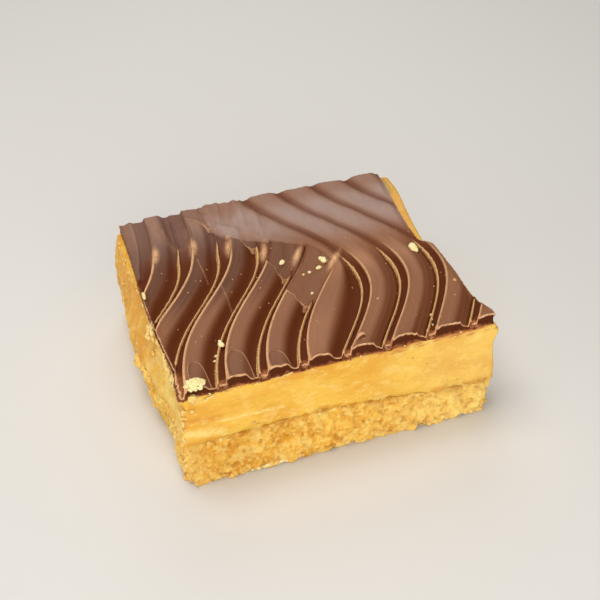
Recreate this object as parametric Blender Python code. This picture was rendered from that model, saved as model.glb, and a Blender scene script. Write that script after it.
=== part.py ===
"""A caramel slice: a square bar cut from a tray, in three layers.

biscuit_base    a crumbly shortbread base, wider at its foot than at its top
caramel         thick set caramel, which bulges at the left cut and behind at the right
chocolate_top   a chocolate coat that a toothed comb has drawn into wavy lobes, in two strokes

Frame: +X runs along the front cut, the front faces -Y, +Z is up and the slice stands on z = 0, centred.
Shapes are worked out in millimetres and scaled to metres when their meshes are made.
"""

import math
from typing import NamedTuple

import bmesh
import bpy
from mathutils import Vector, noise

MM = 0.001


class Swell(NamedTuple):
    """An even swelling along one direction: how high it is, where its middle lies and how far it runs."""

    height: float
    middle: float
    run: float

    def at(self, value):
        return self.height * math.exp(-(((value - self.middle) / self.run) ** 2))


# The knife cuts, before the layers swell.
WIDTH = 66.0
DEPTH = 61.3
MIDDLE_X = -0.59  # the middle of the uneven outline's box, which goes to the origin
MIDDLE_Y = 0.04

# The layers, as heights above the table.
BISCUIT_HIGH = 11.0  # the biscuit's top, at the left of the front cut
BISCUIT_LOW = 7.9  # and at the right
BISCUIT_STEP_X = 14.0
BISCUIT_STEP_RUN = 9.0
BISCUIT_LEFT_DIP = Swell(-0.6, -33.0, 7.0)
CARAMEL_TOP = 22.8
LAYER_GAP = 0.3

# The left cut: the caramel's belly, whose middle climbs towards the back.
LEFT_OUT = 0.3
LEFT_BELLY = 1.3
LEFT_BELLY_ALONG = Swell(2.0, 2.0, 20.0)
LEFT_BELLY_UP = Swell(1.0, 10.0, 8.5)
LEFT_BELLY_CLIMB = 0.12
LEFT_WAIST = Swell(-1.0, -18.0, 8.0)

# The right cut: a low swelling, a lip of caramel at the front corner, and a wide lip behind.
RIGHT_LOW = Swell(1.5, 10.0, 7.0)
RIGHT_LOW_FADE = 0.7
RIGHT_FADE_Y = (0.0, 30.0)
RIGHT_CORNER_UP = Swell(1.5, 20.5, 2.2)
RIGHT_CORNER_ALONG = Swell(1.0, -31.0, 3.0)
RIGHT_BEHIND = 3.3
RIGHT_BEHIND_Y = (1.0, 28.0)
RIGHT_BEHIND_Z = (2.0, 14.0)
RIGHT_BEHIND_AT_FOOT = 0.45
RIGHT_TUCK = 0.8  # the caramel keeps under the chocolate's edge in front
RIGHT_TUCK_Y = (-28.0, -18.0)
RIGHT_TUCK_Z = (14.0, 22.0)

# The front and back cuts: the biscuit spreads towards its foot.
FOOT_Z = (-1.0, 10.0)
FRONT_FOOT = 1.3
BACK_FOOT = 1.4
FRONT_WAVE = 0.2
FRONT_WAVE_RATE = 0.19
FRONT_WAVE_UP = Swell(1.0, 15.0, 6.0)
BACK_WAVE = 0.35
BACK_WAVE_RATE = 0.13
BACK_WAVE_UP = Swell(1.0, 13.0, 7.0)
BACK_CORNER_UP = Swell(1.8, 23.0, 7.0)  # the caramel bulges at its right end
BACK_CORNER_ALONG = Swell(1.0, 33.0, 5.0)

# Caramel that sagged and biscuit that crumbled. The sizes are heights of relief, the rates are per mm.
SAG = 0.45
SAG_RATE = 0.09
CRUMBLED = 0.25
LUMPS = 0.75
LUMP_RATE = 0.26
GRAINS = 0.7
GRAIN_RATE = 0.7
RAGGED_FOOT = Swell(1.0, 0.0, 1.0)
RAGGED_DEEP = 0.4
RAGGED_VARY = 0.8
RAGGED_RATE = 0.4
WORN_CORNER = 1.1
CORNER_SHARE = 0.93

# The chocolate's own edges.
CHOCOLATE_LEFT = -33.3
CHOCOLATE_LEFT_BITE = Swell(0.5, -24.0, 5.0)
CHOCOLATE_LEFT_OUT = Swell(-0.4, -3.0, 10.0)
CHOCOLATE_LEFT_BEHIND = 0.6
CHOCOLATE_LEFT_BEHIND_Y = (2.0, 26.0)
CHOCOLATE_RIGHT = 32.2
CHOCOLATE_RIGHT_BITE = Swell(-0.4, -20.0, 4.0)
CHOCOLATE_RIGHT_OUT = Swell(0.9, -29.0, 3.0)
NOTCH_X = 29.7  # the right edge broke away behind a notch
NOTCH_Y = (-2.6, 1.0)
NOTCH_BEHIND = 2.6
NOTCH_BEHIND_Y = (3.0, 34.0)
EDGE_WAVE_FRONT = 0.1
EDGE_WAVE_BACK = 0.25
EDGE_WAVE_RATE = 0.5

# Combed lobes: heights above the table, then shares of a lobe's width.
LOBE_EDGE_Z = 25.75
LOBE_FLAT_Z = 25.35
LOBE_LEAN = 0.1
VALLEY_Z = 23.95
FIN_Z = 25.1
GROOVE_Z = 24.35
EDGE_WIDTH = 0.35
FIN_HALF_WIDTH = 0.22
FIN_FOOT = 2.2 * FIN_HALF_WIDTH
VALLEY_FOOT = 4.0 * FIN_HALF_WIDTH
FLAT_SHARE = 0.56
SLOPE_MIDDLE = 0.71
SLOPE_SHARE = 0.87
GROOVE_SHARES = (0.35, 0.8)

# The first stroke of the comb covers the left and front.
FIRST_LOBES = range(-3, 3)
FIRST_EDGE_X = -21.0
FIRST_PITCH = 9.0
FIRST_SWING = 12.5
FIRST_BEND_Y = -6.0
FIRST_RUN = 16.0
GROOVE_NARROWEST = 1.4
GROOVE_NARROWEST_Y = -10.0
GROOVE_WIDEST = 3.3
GROOVE_OPENS_FRONT = 0.0013
GROOVE_OPENS_BACK = 0.0042

# The second stroke crosses it from the right. Its lobe 3 lies over the first stroke, along a seam.
SECOND_LOBES = range(3, 9)
SEAM_LOBE = 3
SECOND_FIN_X = 20.75
SECOND_FIN = 5
SECOND_PITCH = 8.75
SECOND_GROOVE = 1.9
SECOND_SWING_FRONT = 9.5
SECOND_SWING_BACK = 8.2
SECOND_BEND_Y = -6.0
SECOND_RUN = 44.0
SEAM_LEFT_X = -14.0
SEAM_SWEEP = 23.0
SEAM_BEND_Y = 11.0
SEAM_RUN = 5.5
SEAM_ROUNDING = 0.8
SEAM_ROOM = 0.03
SEAM_FLATTENS = 1.2

# How far the lines of both strokes stray in front: the first stroke's edges and the second's fins, by number.
STRAY_Y = (-10.0, -32.0)
STRAY = {1: -0.65, 2: -1.3, 3: -1.95, 4: -1.1, 5: -1.2, 6: -0.4, 7: 0.4}

# The lobes flow together behind these places, and the seam smeared a valley shut from here on, by the
# number of the fin to the valley's right.
SECOND_SOFT_Y = (-6.0, 6.0)
FIRST_SOFT_Y = (10.0, 22.0)
FIRST_SOFTEST = 0.6
SOFT_VALLEY = 0.35
SOFT_GROOVE = 0.5
SOFT_EDGE = 0.2
SOFT_SEAM_EDGE = 0.4
SMEARED_FROM_Y = {0: 21.0, 1: 9.7, 2: -3.5, 3: -14.5}
SMEAR_RUN = 1.6
SMEARED_VALLEY = 0.85
SMEARED_GROOVE = 0.8

# Meshing.
COMB_ROWS = 36
COMB_MARGIN = 2.0
KNIFE_STEP = 1.5
CARAMEL_STEP = 2.2
CARAMEL_RINGS = 8
BISCUIT_STEP = 1.5
BISCUIT_RINGS = 7


def smooth(low, high, value):
    """0 below low, 1 above high, and an even S between them."""
    t = min(max((value - low) / (high - low), 0.0), 1.0)
    return t * t * (3.0 - 2.0 * t)


def step_down(value, middle, run):
    """1 well before the middle and 0 well after it."""
    return 0.5 - 0.5 * math.tanh((value - middle) / run)


def soft_min(a, b):
    return -SEAM_ROUNDING * math.log(math.exp(-a / SEAM_ROUNDING) + math.exp(-b / SEAM_ROUNDING))


# The cut faces. Each function gives how far a face stands out from its knife cut.


def left_out(y, z):
    belly = LEFT_BELLY + LEFT_BELLY_ALONG.at(y)
    return LEFT_OUT + belly * LEFT_BELLY_UP.at(z - LEFT_BELLY_CLIMB * y) + LEFT_WAIST.at(y)


def right_out(y, z):
    low = RIGHT_LOW.at(z) * (1.0 - RIGHT_LOW_FADE * smooth(*RIGHT_FADE_Y, y))
    corner = RIGHT_CORNER_UP.at(z) * RIGHT_CORNER_ALONG.at(y)
    rise = RIGHT_BEHIND_AT_FOOT + (1.0 - RIGHT_BEHIND_AT_FOOT) * smooth(*RIGHT_BEHIND_Z, z)
    behind = RIGHT_BEHIND * smooth(*RIGHT_BEHIND_Y, y) * rise
    return low + corner + behind - RIGHT_TUCK * smooth(*RIGHT_TUCK_Y, y) * smooth(*RIGHT_TUCK_Z, z)


def front_out(x, z):
    foot = FRONT_FOOT * (1.0 - smooth(*FOOT_Z, z))
    return foot + FRONT_WAVE * math.sin(FRONT_WAVE_RATE * x) * FRONT_WAVE_UP.at(z)


def back_out(x, z):
    foot = BACK_FOOT * (1.0 - smooth(*FOOT_Z, z))
    corner = BACK_CORNER_UP.at(z) * BACK_CORNER_ALONG.at(x)
    return foot + corner + BACK_WAVE * math.cos(BACK_WAVE_RATE * x) * BACK_WAVE_UP.at(z)


def spread(x, y, z):
    """A point of the straight block, moved out as the cut faces near it are."""
    share_x = x / (WIDTH / 2)
    share_y = y / (DEPTH / 2)
    wide = right_out(y, z) if x > 0.0 else left_out(y, z)
    deep = back_out(x, z) if y > 0.0 else front_out(x, z)
    return Vector((x + wide * share_x * abs(share_x) ** 3, y + deep * share_y * abs(share_y) ** 3, z))


def outward(x, y):
    return Vector((x / WIDTH, y / DEPTH, 0.0)).normalized()


def biscuit_top(x):
    fall = 1.0 - step_down(x, BISCUIT_STEP_X, BISCUIT_STEP_RUN)
    return BISCUIT_HIGH + (BISCUIT_LOW - BISCUIT_HIGH) * fall + BISCUIT_LEFT_DIP.at(x)


def caramel_place(x, y, z):
    point = spread(x, y, z)
    return point + outward(x, y) * SAG * noise.noise(point * SAG_RATE)


def biscuit_place(x, y, z):
    """The cut is crumbly, the foot is ragged where crumbs have fallen away, and the corners are worn."""
    point = spread(x, y, z)
    lumps = LUMPS * noise.noise(point * LUMP_RATE)
    grains = GRAINS * noise.noise(point * GRAIN_RATE)
    ragged = RAGGED_FOOT.at(z) * (RAGGED_DEEP + RAGGED_VARY * noise.noise(point * RAGGED_RATE))
    at_end = smooth(CORNER_SHARE, 1.0, abs(2.0 * x / WIDTH)) * smooth(CORNER_SHARE, 1.0, abs(2.0 * y / DEPTH))
    return point + outward(x, y) * (CRUMBLED + lumps + grains - ragged - WORN_CORNER * at_end)


def chocolate_left(y):
    waves = CHOCOLATE_LEFT_BITE.at(y) + CHOCOLATE_LEFT_OUT.at(y)
    return CHOCOLATE_LEFT + waves + CHOCOLATE_LEFT_BEHIND * smooth(*CHOCOLATE_LEFT_BEHIND_Y, y)


def chocolate_right(y):
    front = CHOCOLATE_RIGHT + CHOCOLATE_RIGHT_BITE.at(y) + CHOCOLATE_RIGHT_OUT.at(y)
    behind = NOTCH_X + NOTCH_BEHIND * smooth(*NOTCH_BEHIND_Y, y)
    return front + (behind - front) * smooth(*NOTCH_Y, y)


def chocolate_place(x, y, z):
    """The chocolate broke along its own line at each side, so it doesn't follow the caramel's swellings."""
    left = chocolate_left(y)
    across = left + (chocolate_right(y) - left) * (x / WIDTH + 0.5)
    wave = EDGE_WAVE_FRONT if y < 0.0 else EDGE_WAVE_BACK
    return Vector((across, y + wave * math.sin(EDGE_WAVE_RATE * x), z))


# The comb's lines, as x at a given y.


def stray(number, y):
    """How far a line has strayed from its even course, which it does only near the front."""
    return STRAY.get(number, 0.0) * smooth(*STRAY_Y, y)


def first_edge(lobe, y):
    """The sharp left edge of one lobe of the first stroke."""
    swing = FIRST_SWING * math.tanh((y - FIRST_BEND_Y) / FIRST_RUN)
    return FIRST_EDGE_X + lobe * FIRST_PITCH + swing + stray(lobe, y)


def groove_width(y):
    """From a fin of the first stroke to the lobe edge on its right."""
    away = y - GROOVE_NARROWEST_Y
    opens = GROOVE_OPENS_FRONT if away < 0.0 else GROOVE_OPENS_BACK
    return min(GROOVE_NARROWEST + opens * away * away, GROOVE_WIDEST)


def second_fin(lobe, y):
    """The fin on the left of one lobe of the second stroke."""
    turn = y - SECOND_BEND_Y
    swing = SECOND_SWING_FRONT if turn < 0.0 else SECOND_SWING_BACK
    sway = swing * (math.cos(math.pi * turn / SECOND_RUN) - 1.0)
    return SECOND_FIN_X + (lobe - SECOND_FIN) * SECOND_PITCH + sway + stray(lobe, y)


def seam(y):
    """The left edge of the second stroke's first lobe: the first stroke's line in front, then across it."""
    across = SEAM_LEFT_X + SEAM_SWEEP * step_down(y, SEAM_BEND_Y, SEAM_RUN)
    return soft_min(first_edge(SEAM_LOBE, y), across)


def lobe_marks(lobe, y):
    """Where one lobe has its left edge, the fin on its right, and the next lobe's edge."""
    if lobe < SEAM_LOBE:
        following = first_edge(lobe + 1, y)
        return first_edge(lobe, y), following - groove_width(y), following
    fin = second_fin(lobe + 1, y)
    left = seam(y) if lobe == SEAM_LOBE else second_fin(lobe, y) + SECOND_GROOVE
    return left, fin, fin + SECOND_GROOVE


def softness(lobe, y):
    """How far the lobes have flowed together, from 0 to 1."""
    if lobe >= SEAM_LOBE:
        return smooth(*SECOND_SOFT_Y, y)
    return FIRST_SOFTEST * smooth(*FIRST_SOFT_Y, y)


def lobe_line(lobe, y):
    """Points (x, z) across one lobe: its edge, flat, slope and valley, then the fin and groove at its right."""
    left, fin, right = lobe_marks(lobe, y)
    wide = fin - left
    soft = softness(lobe, y)
    smeared_from = SMEARED_FROM_Y.get(lobe + 1, DEPTH)
    smeared = smooth(smeared_from, smeared_from + SMEAR_RUN, y)
    valley = VALLEY_Z + (LOBE_FLAT_Z - VALLEY_Z) * max(smeared * SMEARED_VALLEY, soft * SOFT_VALLEY)
    groove = GROOVE_Z + (LOBE_FLAT_Z - GROOVE_Z) * max(smeared * SMEARED_GROOVE, soft * SOFT_GROOVE)
    foot = valley + LOBE_LEAN
    fin_top = FIN_Z + (foot - FIN_Z) * soft * (1.0 - smeared)
    edge = LOBE_EDGE_Z - (SOFT_SEAM_EDGE if lobe == SEAM_LOBE else SOFT_EDGE) * soft
    return [
        (left, edge),
        (left + EDGE_WIDTH, LOBE_FLAT_Z + 2.0 * LOBE_LEAN),
        (left + 0.5 * FLAT_SHARE * wide, LOBE_FLAT_Z + LOBE_LEAN),
        (left + FLAT_SHARE * wide, LOBE_FLAT_Z - LOBE_LEAN),
        (left + SLOPE_MIDDLE * wide, (LOBE_FLAT_Z + valley) / 2),
        (left + min(SLOPE_SHARE * wide, wide - VALLEY_FOOT), valley),
        (fin - FIN_FOOT, foot),
        (fin - FIN_HALF_WIDTH, fin_top),
        (fin + FIN_HALF_WIDTH, fin_top),
        *((fin + share * (right - fin), groove) for share in GROOVE_SHARES),
    ]


def comb_line(y):
    """Points (x, z) right across the chocolate. Where the second stroke lies over the first, the first's
    points are pressed up against the seam and lie level with it."""
    first = [point for lobe in FIRST_LOBES for point in lobe_line(lobe, y)]
    second = [point for lobe in SECOND_LOBES for point in lobe_line(lobe, y)]
    limit = second[0][0]
    line = []
    for number, (x, z) in enumerate(first):
        pressed = min(x, limit - SEAM_ROOM * (len(first) - number))
        level = smooth(0.0, SEAM_FLATTENS, x - pressed)
        line.append((pressed, z + (LOBE_FLAT_Z - z) * level))
    return line + second


# Building.


def new_collection(name):
    made = bpy.data.collections.new(name)
    bpy.context.scene.collection.children.link(made)
    return made


def new_material(name, colour, roughness):
    made = bpy.data.materials.new(name)
    made.use_nodes = True
    shader = made.node_tree.nodes["Principled BSDF"]
    shader.inputs["Base Color"].default_value = (*colour, 1.0)
    shader.inputs["Roughness"].default_value = roughness
    shader.inputs["Metallic"].default_value = 0.0
    return made


def new_object(name, bm, home, look=None):
    """An object in metres from a bmesh in millimetres, with the middle of the outline at the origin."""
    bmesh.ops.recalc_face_normals(bm, faces=bm.faces[:])
    bmesh.ops.translate(bm, verts=bm.verts[:], vec=(-MIDDLE_X, -MIDDLE_Y, 0.0))
    bmesh.ops.scale(bm, verts=bm.verts[:], vec=(MM, MM, MM))
    mesh = bpy.data.meshes.new(name)
    bm.to_mesh(mesh)
    bm.free()
    if look:
        mesh.materials.append(look)
    made = bpy.data.objects.new(name, mesh)
    home.objects.link(made)
    return made


def raise_grid(bm):
    """Thickens a flat grid upwards by 1. It returns the vertices of the new top."""
    raised = bmesh.ops.extrude_face_region(bm, geom=bm.faces[:])["geom"]
    top = [item for item in raised if isinstance(item, bmesh.types.BMVert)]
    bmesh.ops.translate(bm, verts=top, vec=(0.0, 0.0, 1.0))
    return top


def cut_block(step, rings, low, high, place):
    """A block from low(x) to high(x), whose walls have a point every step mm and are put in place by
    place(x, y, z). Its top and bottom are strips that run from the front to the back."""
    bm = bmesh.new()
    bmesh.ops.create_grid(bm, x_segments=round(WIDTH / step), y_segments=1, size=0.5)
    sides = [edge for edge in bm.edges if edge.is_boundary and edge.verts[0].co.x == edge.verts[1].co.x]
    bmesh.ops.subdivide_edges(bm, edges=sides, cuts=round(DEPTH / step) - 1)
    raise_grid(bm)
    uprights = [edge for edge in bm.edges if edge.verts[0].co.z != edge.verts[1].co.z]
    bmesh.ops.subdivide_edges(bm, edges=uprights, cuts=rings - 1)
    for vert in bm.verts:
        x = vert.co.x * WIDTH
        z = low(x) + (high(x) - low(x)) * vert.co.z
        vert.co = place(x, vert.co.y * DEPTH, z)
    return bm


def add_biscuit_base(home):
    look = new_material("biscuit", (0.85, 0.55, 0.20), 0.85)
    top = lambda x: biscuit_top(x) - LAYER_GAP / 2
    bm = cut_block(BISCUIT_STEP, BISCUIT_RINGS, lambda x: 0.0, top, biscuit_place)
    return new_object("biscuit_base", bm, home, look)


def add_caramel(home):
    look = new_material("caramel", (0.86, 0.52, 0.12), 0.35)
    foot = lambda x: biscuit_top(x) + LAYER_GAP / 2
    bm = cut_block(CARAMEL_STEP, CARAMEL_RINGS, foot, lambda x: CARAMEL_TOP, caramel_place)
    return new_object("caramel", bm, home, look)


def add_knife_cuts(home):
    """The block of the chocolate's outline, which cuts the combed sheet."""
    below = CARAMEL_TOP - COMB_MARGIN
    above = LOBE_EDGE_Z + COMB_MARGIN
    bm = cut_block(KNIFE_STEP, 1, lambda x: below, lambda x: above, chocolate_place)
    made = new_object("knife_cuts", bm, home)
    made.hide_render = True
    made.display_type = "WIRE"
    return made


def add_chocolate_top(home, cutter):
    """A combed sheet with a flat underside, cut to the slice's outline."""
    front = -DEPTH / 2 - COMB_MARGIN
    row_step = (DEPTH + 2.0 * COMB_MARGIN) / COMB_ROWS
    lines = [comb_line(front + row_step * row) for row in range(COMB_ROWS + 1)]
    last = len(lines[0]) - 1
    bm = bmesh.new()
    bmesh.ops.create_grid(bm, x_segments=last, y_segments=COMB_ROWS, size=0.5)
    top = set(raise_grid(bm))
    for vert in bm.verts:
        row = round((vert.co.y + 0.5) * COMB_ROWS)
        x, z = lines[row][round((vert.co.x + 0.5) * last)]
        vert.co = (x, front + row_step * row, z if vert in top else CARAMEL_TOP + LAYER_GAP)
    underside = [face for face in bm.faces if not top.intersection(face.verts)]
    bmesh.ops.dissolve_faces(bm, faces=underside, use_verts=True)
    made = new_object("chocolate_top", bm, home, new_material("chocolate", (0.19, 0.085, 0.045), 0.4))
    cut = made.modifiers.new("knife_cuts", "BOOLEAN")
    cut.operation = "INTERSECT"
    cut.solver = "MANIFOLD"  # EXACT returns nothing for a sheet this fine
    cut.object = cutter
    return made


def main():
    for old in list(bpy.data.objects):
        bpy.data.objects.remove(old, do_unlink=True)
    layers = new_collection("caramel_slice")
    add_biscuit_base(layers)
    add_caramel(layers)
    add_chocolate_top(layers, add_knife_cuts(new_collection("cutters")))


main()
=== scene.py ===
"""Dresses a packed caramel slice: combed chocolate over set caramel on a crumbly biscuit base.

Sizes are in millimetres in the slice's own frame: +X runs along the front cut, the front faces -Y, the
knife cuts are at x = 33 and y = 30.65 either side, and the slice stands on z = 0. A finished mesh is in
metres, with the middle of its uneven outline at the origin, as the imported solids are.
"""

import logging
import math
import random
from dataclasses import dataclass, field
from enum import Enum
from typing import Callable, Iterable, Sequence

import bmesh
import bpy
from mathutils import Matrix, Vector, noise


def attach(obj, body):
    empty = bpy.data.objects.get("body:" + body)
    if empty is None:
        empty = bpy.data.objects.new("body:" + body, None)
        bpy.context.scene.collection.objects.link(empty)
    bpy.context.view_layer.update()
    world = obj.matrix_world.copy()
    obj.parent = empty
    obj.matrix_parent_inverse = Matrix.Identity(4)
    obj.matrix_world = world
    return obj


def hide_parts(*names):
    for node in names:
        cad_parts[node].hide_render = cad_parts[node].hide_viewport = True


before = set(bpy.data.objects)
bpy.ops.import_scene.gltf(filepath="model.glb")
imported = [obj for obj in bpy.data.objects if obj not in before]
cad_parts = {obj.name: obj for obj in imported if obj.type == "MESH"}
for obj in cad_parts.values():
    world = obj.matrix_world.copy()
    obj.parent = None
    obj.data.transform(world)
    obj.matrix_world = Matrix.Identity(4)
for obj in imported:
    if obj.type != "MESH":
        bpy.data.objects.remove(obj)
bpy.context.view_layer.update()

MM = 0.001
MIDDLE = Vector((-0.59, 0.04, 0.0))
MANY = 1e6  # more points than any piece has, so that it orders faces by their first two points
LOG = logging.getLogger("caramel_slice")

Colour = tuple[float, float, float]
Span = tuple[float, float]


class Slot(Enum):
    """The record's material slots."""

    BISCUIT = "biscuit"
    CARAMEL = "caramel"
    CHOCOLATE = "chocolate"


class Side(Enum):
    """The four cut faces of the slice."""

    FRONT = 0
    RIGHT = 1
    BACK = 2
    LEFT = 3


def smooth(low: float, high: float, value: float) -> float:
    """Return 0 below low, 1 above high, and an even S between them."""
    share = min(max((value - low) / (high - low), 0.0), 1.0)
    return share * share * (3.0 - 2.0 * share)


def bump(value: float, run: float) -> float:
    """Return a bell of height 1 about 0, which is down to a third at run."""
    return math.exp(-((value / run) ** 2))


def step_down(value: float, middle: float, run: float) -> float:
    """Return 1 well before the middle and 0 well after it."""
    return 0.5 - 0.5 * math.tanh((value - middle) / run)


def grain(x: float, y: float, z: float = 0.0) -> float:
    """Return smooth noise from about -1 to 1 at a place."""
    return noise.noise(Vector((x, y, z)))


def linear(red: int, green: int, blue: int) -> Colour:
    """Return the linear colour of an sRGB one, as the shaders take it."""
    shares = (red / 255.0, green / 255.0, blue / 255.0)
    return tuple(s / 12.92 if s <= 0.04045 else ((s + 0.055) / 1.055) ** 2.4 for s in shares)


@dataclass(frozen=True)
class Swell:
    """An even swelling along one direction: how high it is, where its middle lies and how far it runs."""

    height: float
    middle: float
    run: float

    def at(self, value: float) -> float:
        """Return the swelling's height at a place along its direction."""
        return self.height * bump(value - self.middle, self.run)


@dataclass(frozen=True)
class KnifeCuts:
    """The slice's four cut faces and the line between caramel and biscuit, which all layers share."""

    width: float = 66.0
    depth: float = 61.3
    biscuit_high: float = 11.0
    biscuit_low: float = 7.9
    biscuit_step: Span = (14.0, 9.0)
    biscuit_left_dip: Swell = Swell(-0.6, -33.0, 7.0)
    caramel_top: float = 22.8
    left_base: float = 0.3
    left_belly: float = 1.3
    left_belly_along: Swell = Swell(2.0, 2.0, 20.0)
    left_belly_up: Swell = Swell(1.0, 10.0, 8.5)
    left_belly_climb: float = 0.12
    left_waist: Swell = Swell(-1.0, -18.0, 8.0)
    right_low: Swell = Swell(1.5, 10.0, 7.0)
    right_low_fade: float = 0.7
    right_fade_y: Span = (0.0, 30.0)
    right_corner_up: Swell = Swell(1.5, 20.5, 2.2)
    right_corner_along: Swell = Swell(1.0, -31.0, 3.0)
    right_behind: float = 3.3
    right_behind_y: Span = (1.0, 28.0)
    right_behind_z: Span = (2.0, 14.0)
    right_behind_at_foot: float = 0.45
    right_tuck: float = 0.8
    right_tuck_y: Span = (-28.0, -18.0)
    right_tuck_z: Span = (14.0, 22.0)
    foot_z: Span = (-1.0, 10.0)
    front_foot: float = 1.3
    back_foot: float = 1.4
    front_wave: float = 0.2
    front_wave_rate: float = 0.19
    front_wave_up: Swell = Swell(1.0, 15.0, 6.0)
    back_wave: float = 0.35
    back_wave_rate: float = 0.13
    back_wave_up: Swell = Swell(1.0, 13.0, 7.0)
    back_corner_up: Swell = Swell(1.8, 23.0, 7.0)
    back_corner_along: Swell = Swell(1.0, 33.0, 5.0)

    def left_out(self, y: float, z: float) -> float:
        """Return how far the left face stands out from its knife cut."""
        belly = self.left_belly + self.left_belly_along.at(y)
        climbed = z - self.left_belly_climb * y
        return self.left_base + belly * self.left_belly_up.at(climbed) + self.left_waist.at(y)

    def right_out(self, y: float, z: float) -> float:
        """Return how far the right face stands out from its knife cut."""
        low = self.right_low.at(z) * (1.0 - self.right_low_fade * smooth(*self.right_fade_y, y))
        corner = self.right_corner_up.at(z) * self.right_corner_along.at(y)
        at_foot = self.right_behind_at_foot
        rise = at_foot + (1.0 - at_foot) * smooth(*self.right_behind_z, z)
        behind = self.right_behind * smooth(*self.right_behind_y, y) * rise
        tuck = self.right_tuck * smooth(*self.right_tuck_y, y) * smooth(*self.right_tuck_z, z)
        return low + corner + behind - tuck

    def front_out(self, x: float, z: float) -> float:
        """Return how far the front face stands out from its knife cut."""
        foot = self.front_foot * (1.0 - smooth(*self.foot_z, z))
        return foot + self.front_wave * math.sin(self.front_wave_rate * x) * self.front_wave_up.at(z)

    def back_out(self, x: float, z: float) -> float:
        """Return how far the back face stands out from its knife cut."""
        foot = self.back_foot * (1.0 - smooth(*self.foot_z, z))
        foot += self.back_corner_up.at(z) * self.back_corner_along.at(x)
        return foot + self.back_wave * math.cos(self.back_wave_rate * x) * self.back_wave_up.at(z)

    def spread(self, x: float, y: float, z: float) -> Vector:
        """Return a point of the straight block, moved out as the cut faces near it are."""
        share_x = x / (self.width / 2)
        share_y = y / (self.depth / 2)
        wide = self.right_out(y, z) if x > 0.0 else self.left_out(y, z)
        deep = self.back_out(x, z) if y > 0.0 else self.front_out(x, z)
        across = x + wide * share_x * abs(share_x) ** 3
        return Vector((across, y + deep * share_y * abs(share_y) ** 3, z))

    def outward(self, x: float, y: float) -> Vector:
        """Return the level direction from the slice's middle to a place."""
        return Vector((x / self.width, y / self.depth, 0.0)).normalized()

    def biscuit_top(self, x: float) -> float:
        """Return the height of the line between biscuit and caramel."""
        fall = 1.0 - step_down(x, *self.biscuit_step)
        dropped = (self.biscuit_low - self.biscuit_high) * fall
        return self.biscuit_high + dropped + self.biscuit_left_dip.at(x)

    def torn_line(self, x: float, y: float) -> float:
        """Return how far the line between biscuit and caramel strays up or down at the slice's wall."""
        waves = 0.40 * grain(x * 0.35, y * 0.35, 4.0) + 0.35 * grain(x * 1.1, y * 1.1, 7.0)
        return waves + 0.20 * grain(x * 3.0, y * 3.0, 2.0)

    def perimeter(self, share: float, corner: float) -> tuple[float, float, Vector, Side]:
        """Find a place on the block's outline, whose corners are rounded.

        Args:
            share: How far round it is from the front left corner, from 0 to 1.
            corner: The radius of a corner.

        Returns:
            The place's x and y, the direction out of the face there, and the face.
        """
        walk = (share % 1.0) * 2.0 * (self.width + self.depth)
        for side, length in zip(Side, (self.width, self.depth, self.width, self.depth)):
            if walk <= length:
                break
            walk -= length
        half_x, half_y = self.width / 2, self.depth / 2
        x, y = {
            Side.FRONT: (walk - half_x, -half_y),
            Side.RIGHT: (half_x, walk - half_y),
            Side.BACK: (half_x - walk, half_y),
            Side.LEFT: (-half_x, half_y - walk),
        }[side]
        inner = Vector((min(max(x, corner - half_x), half_x - corner),
                        min(max(y, corner - half_y), half_y - corner)))
        out = Vector((x, y)) - inner
        if out.length > corner:
            x, y = inner + out.normalized() * corner
        out = out.normalized()
        return x, y, Vector((out.x, out.y, 0.0)), side


CUTS = KnifeCuts()


# Meshes.


def finished(name: str, bm: bmesh.types.BMesh, look: bpy.types.Material, slot: Slot,
             stands_for: str | None = None) -> bpy.types.Object:
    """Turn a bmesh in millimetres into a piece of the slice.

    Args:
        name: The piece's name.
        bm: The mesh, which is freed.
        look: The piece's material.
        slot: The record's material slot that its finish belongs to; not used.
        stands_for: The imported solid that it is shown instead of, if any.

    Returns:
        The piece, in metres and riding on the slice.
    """
    bmesh.ops.recalc_face_normals(bm, faces=bm.faces[:])
    bm.verts.index_update()
    bm.faces.sort(key=lambda face: face.verts[0].index * MANY + face.verts[1].index)
    bmesh.ops.translate(bm, verts=bm.verts[:], vec=-MIDDLE)
    bmesh.ops.scale(bm, verts=bm.verts[:], vec=(MM, MM, MM))
    for face in bm.faces:
        face.smooth = True
    mesh = bpy.data.meshes.new(name)
    bm.to_mesh(mesh)
    bm.free()
    mesh.materials.append(look)
    piece = bpy.data.objects.new(name, mesh)
    bpy.context.scene.collection.objects.link(piece)
    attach(piece, "root")
    if stands_for:
        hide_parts(stands_for)
    LOG.info("%s: %d faces", name, len(mesh.polygons))
    return piece


def close_ends(bm: bmesh.types.BMesh) -> None:
    """Fill each open loop of a mesh with one face."""
    bmesh.ops.holes_fill(bm, edges=[edge for edge in bm.edges if edge.is_boundary], sides=0)


def wrapped(around: int, rings: int, place: Callable[[float, int], Vector]) -> bmesh.types.BMesh:
    """Wrap a grid round the slice, join its two ends, and close it above and below.

    Args:
        around: How many faces there are round the slice.
        rings: How many rows of faces there are from the underside to the top.
        place: The place of the point at a share of the way round and a ring's number.

    Returns:
        The closed mesh.
    """
    bm = bmesh.new()
    bmesh.ops.create_grid(bm, x_segments=around, y_segments=rings, size=0.5)
    for vert in bm.verts:
        share = round((vert.co.x + 0.5) * around) / around
        vert.co = place(share, round((vert.co.y + 0.5) * rings))
    bmesh.ops.remove_doubles(bm, verts=bm.verts[:], dist=1e-5)
    close_ends(bm)
    return bm


# Materials.


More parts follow.
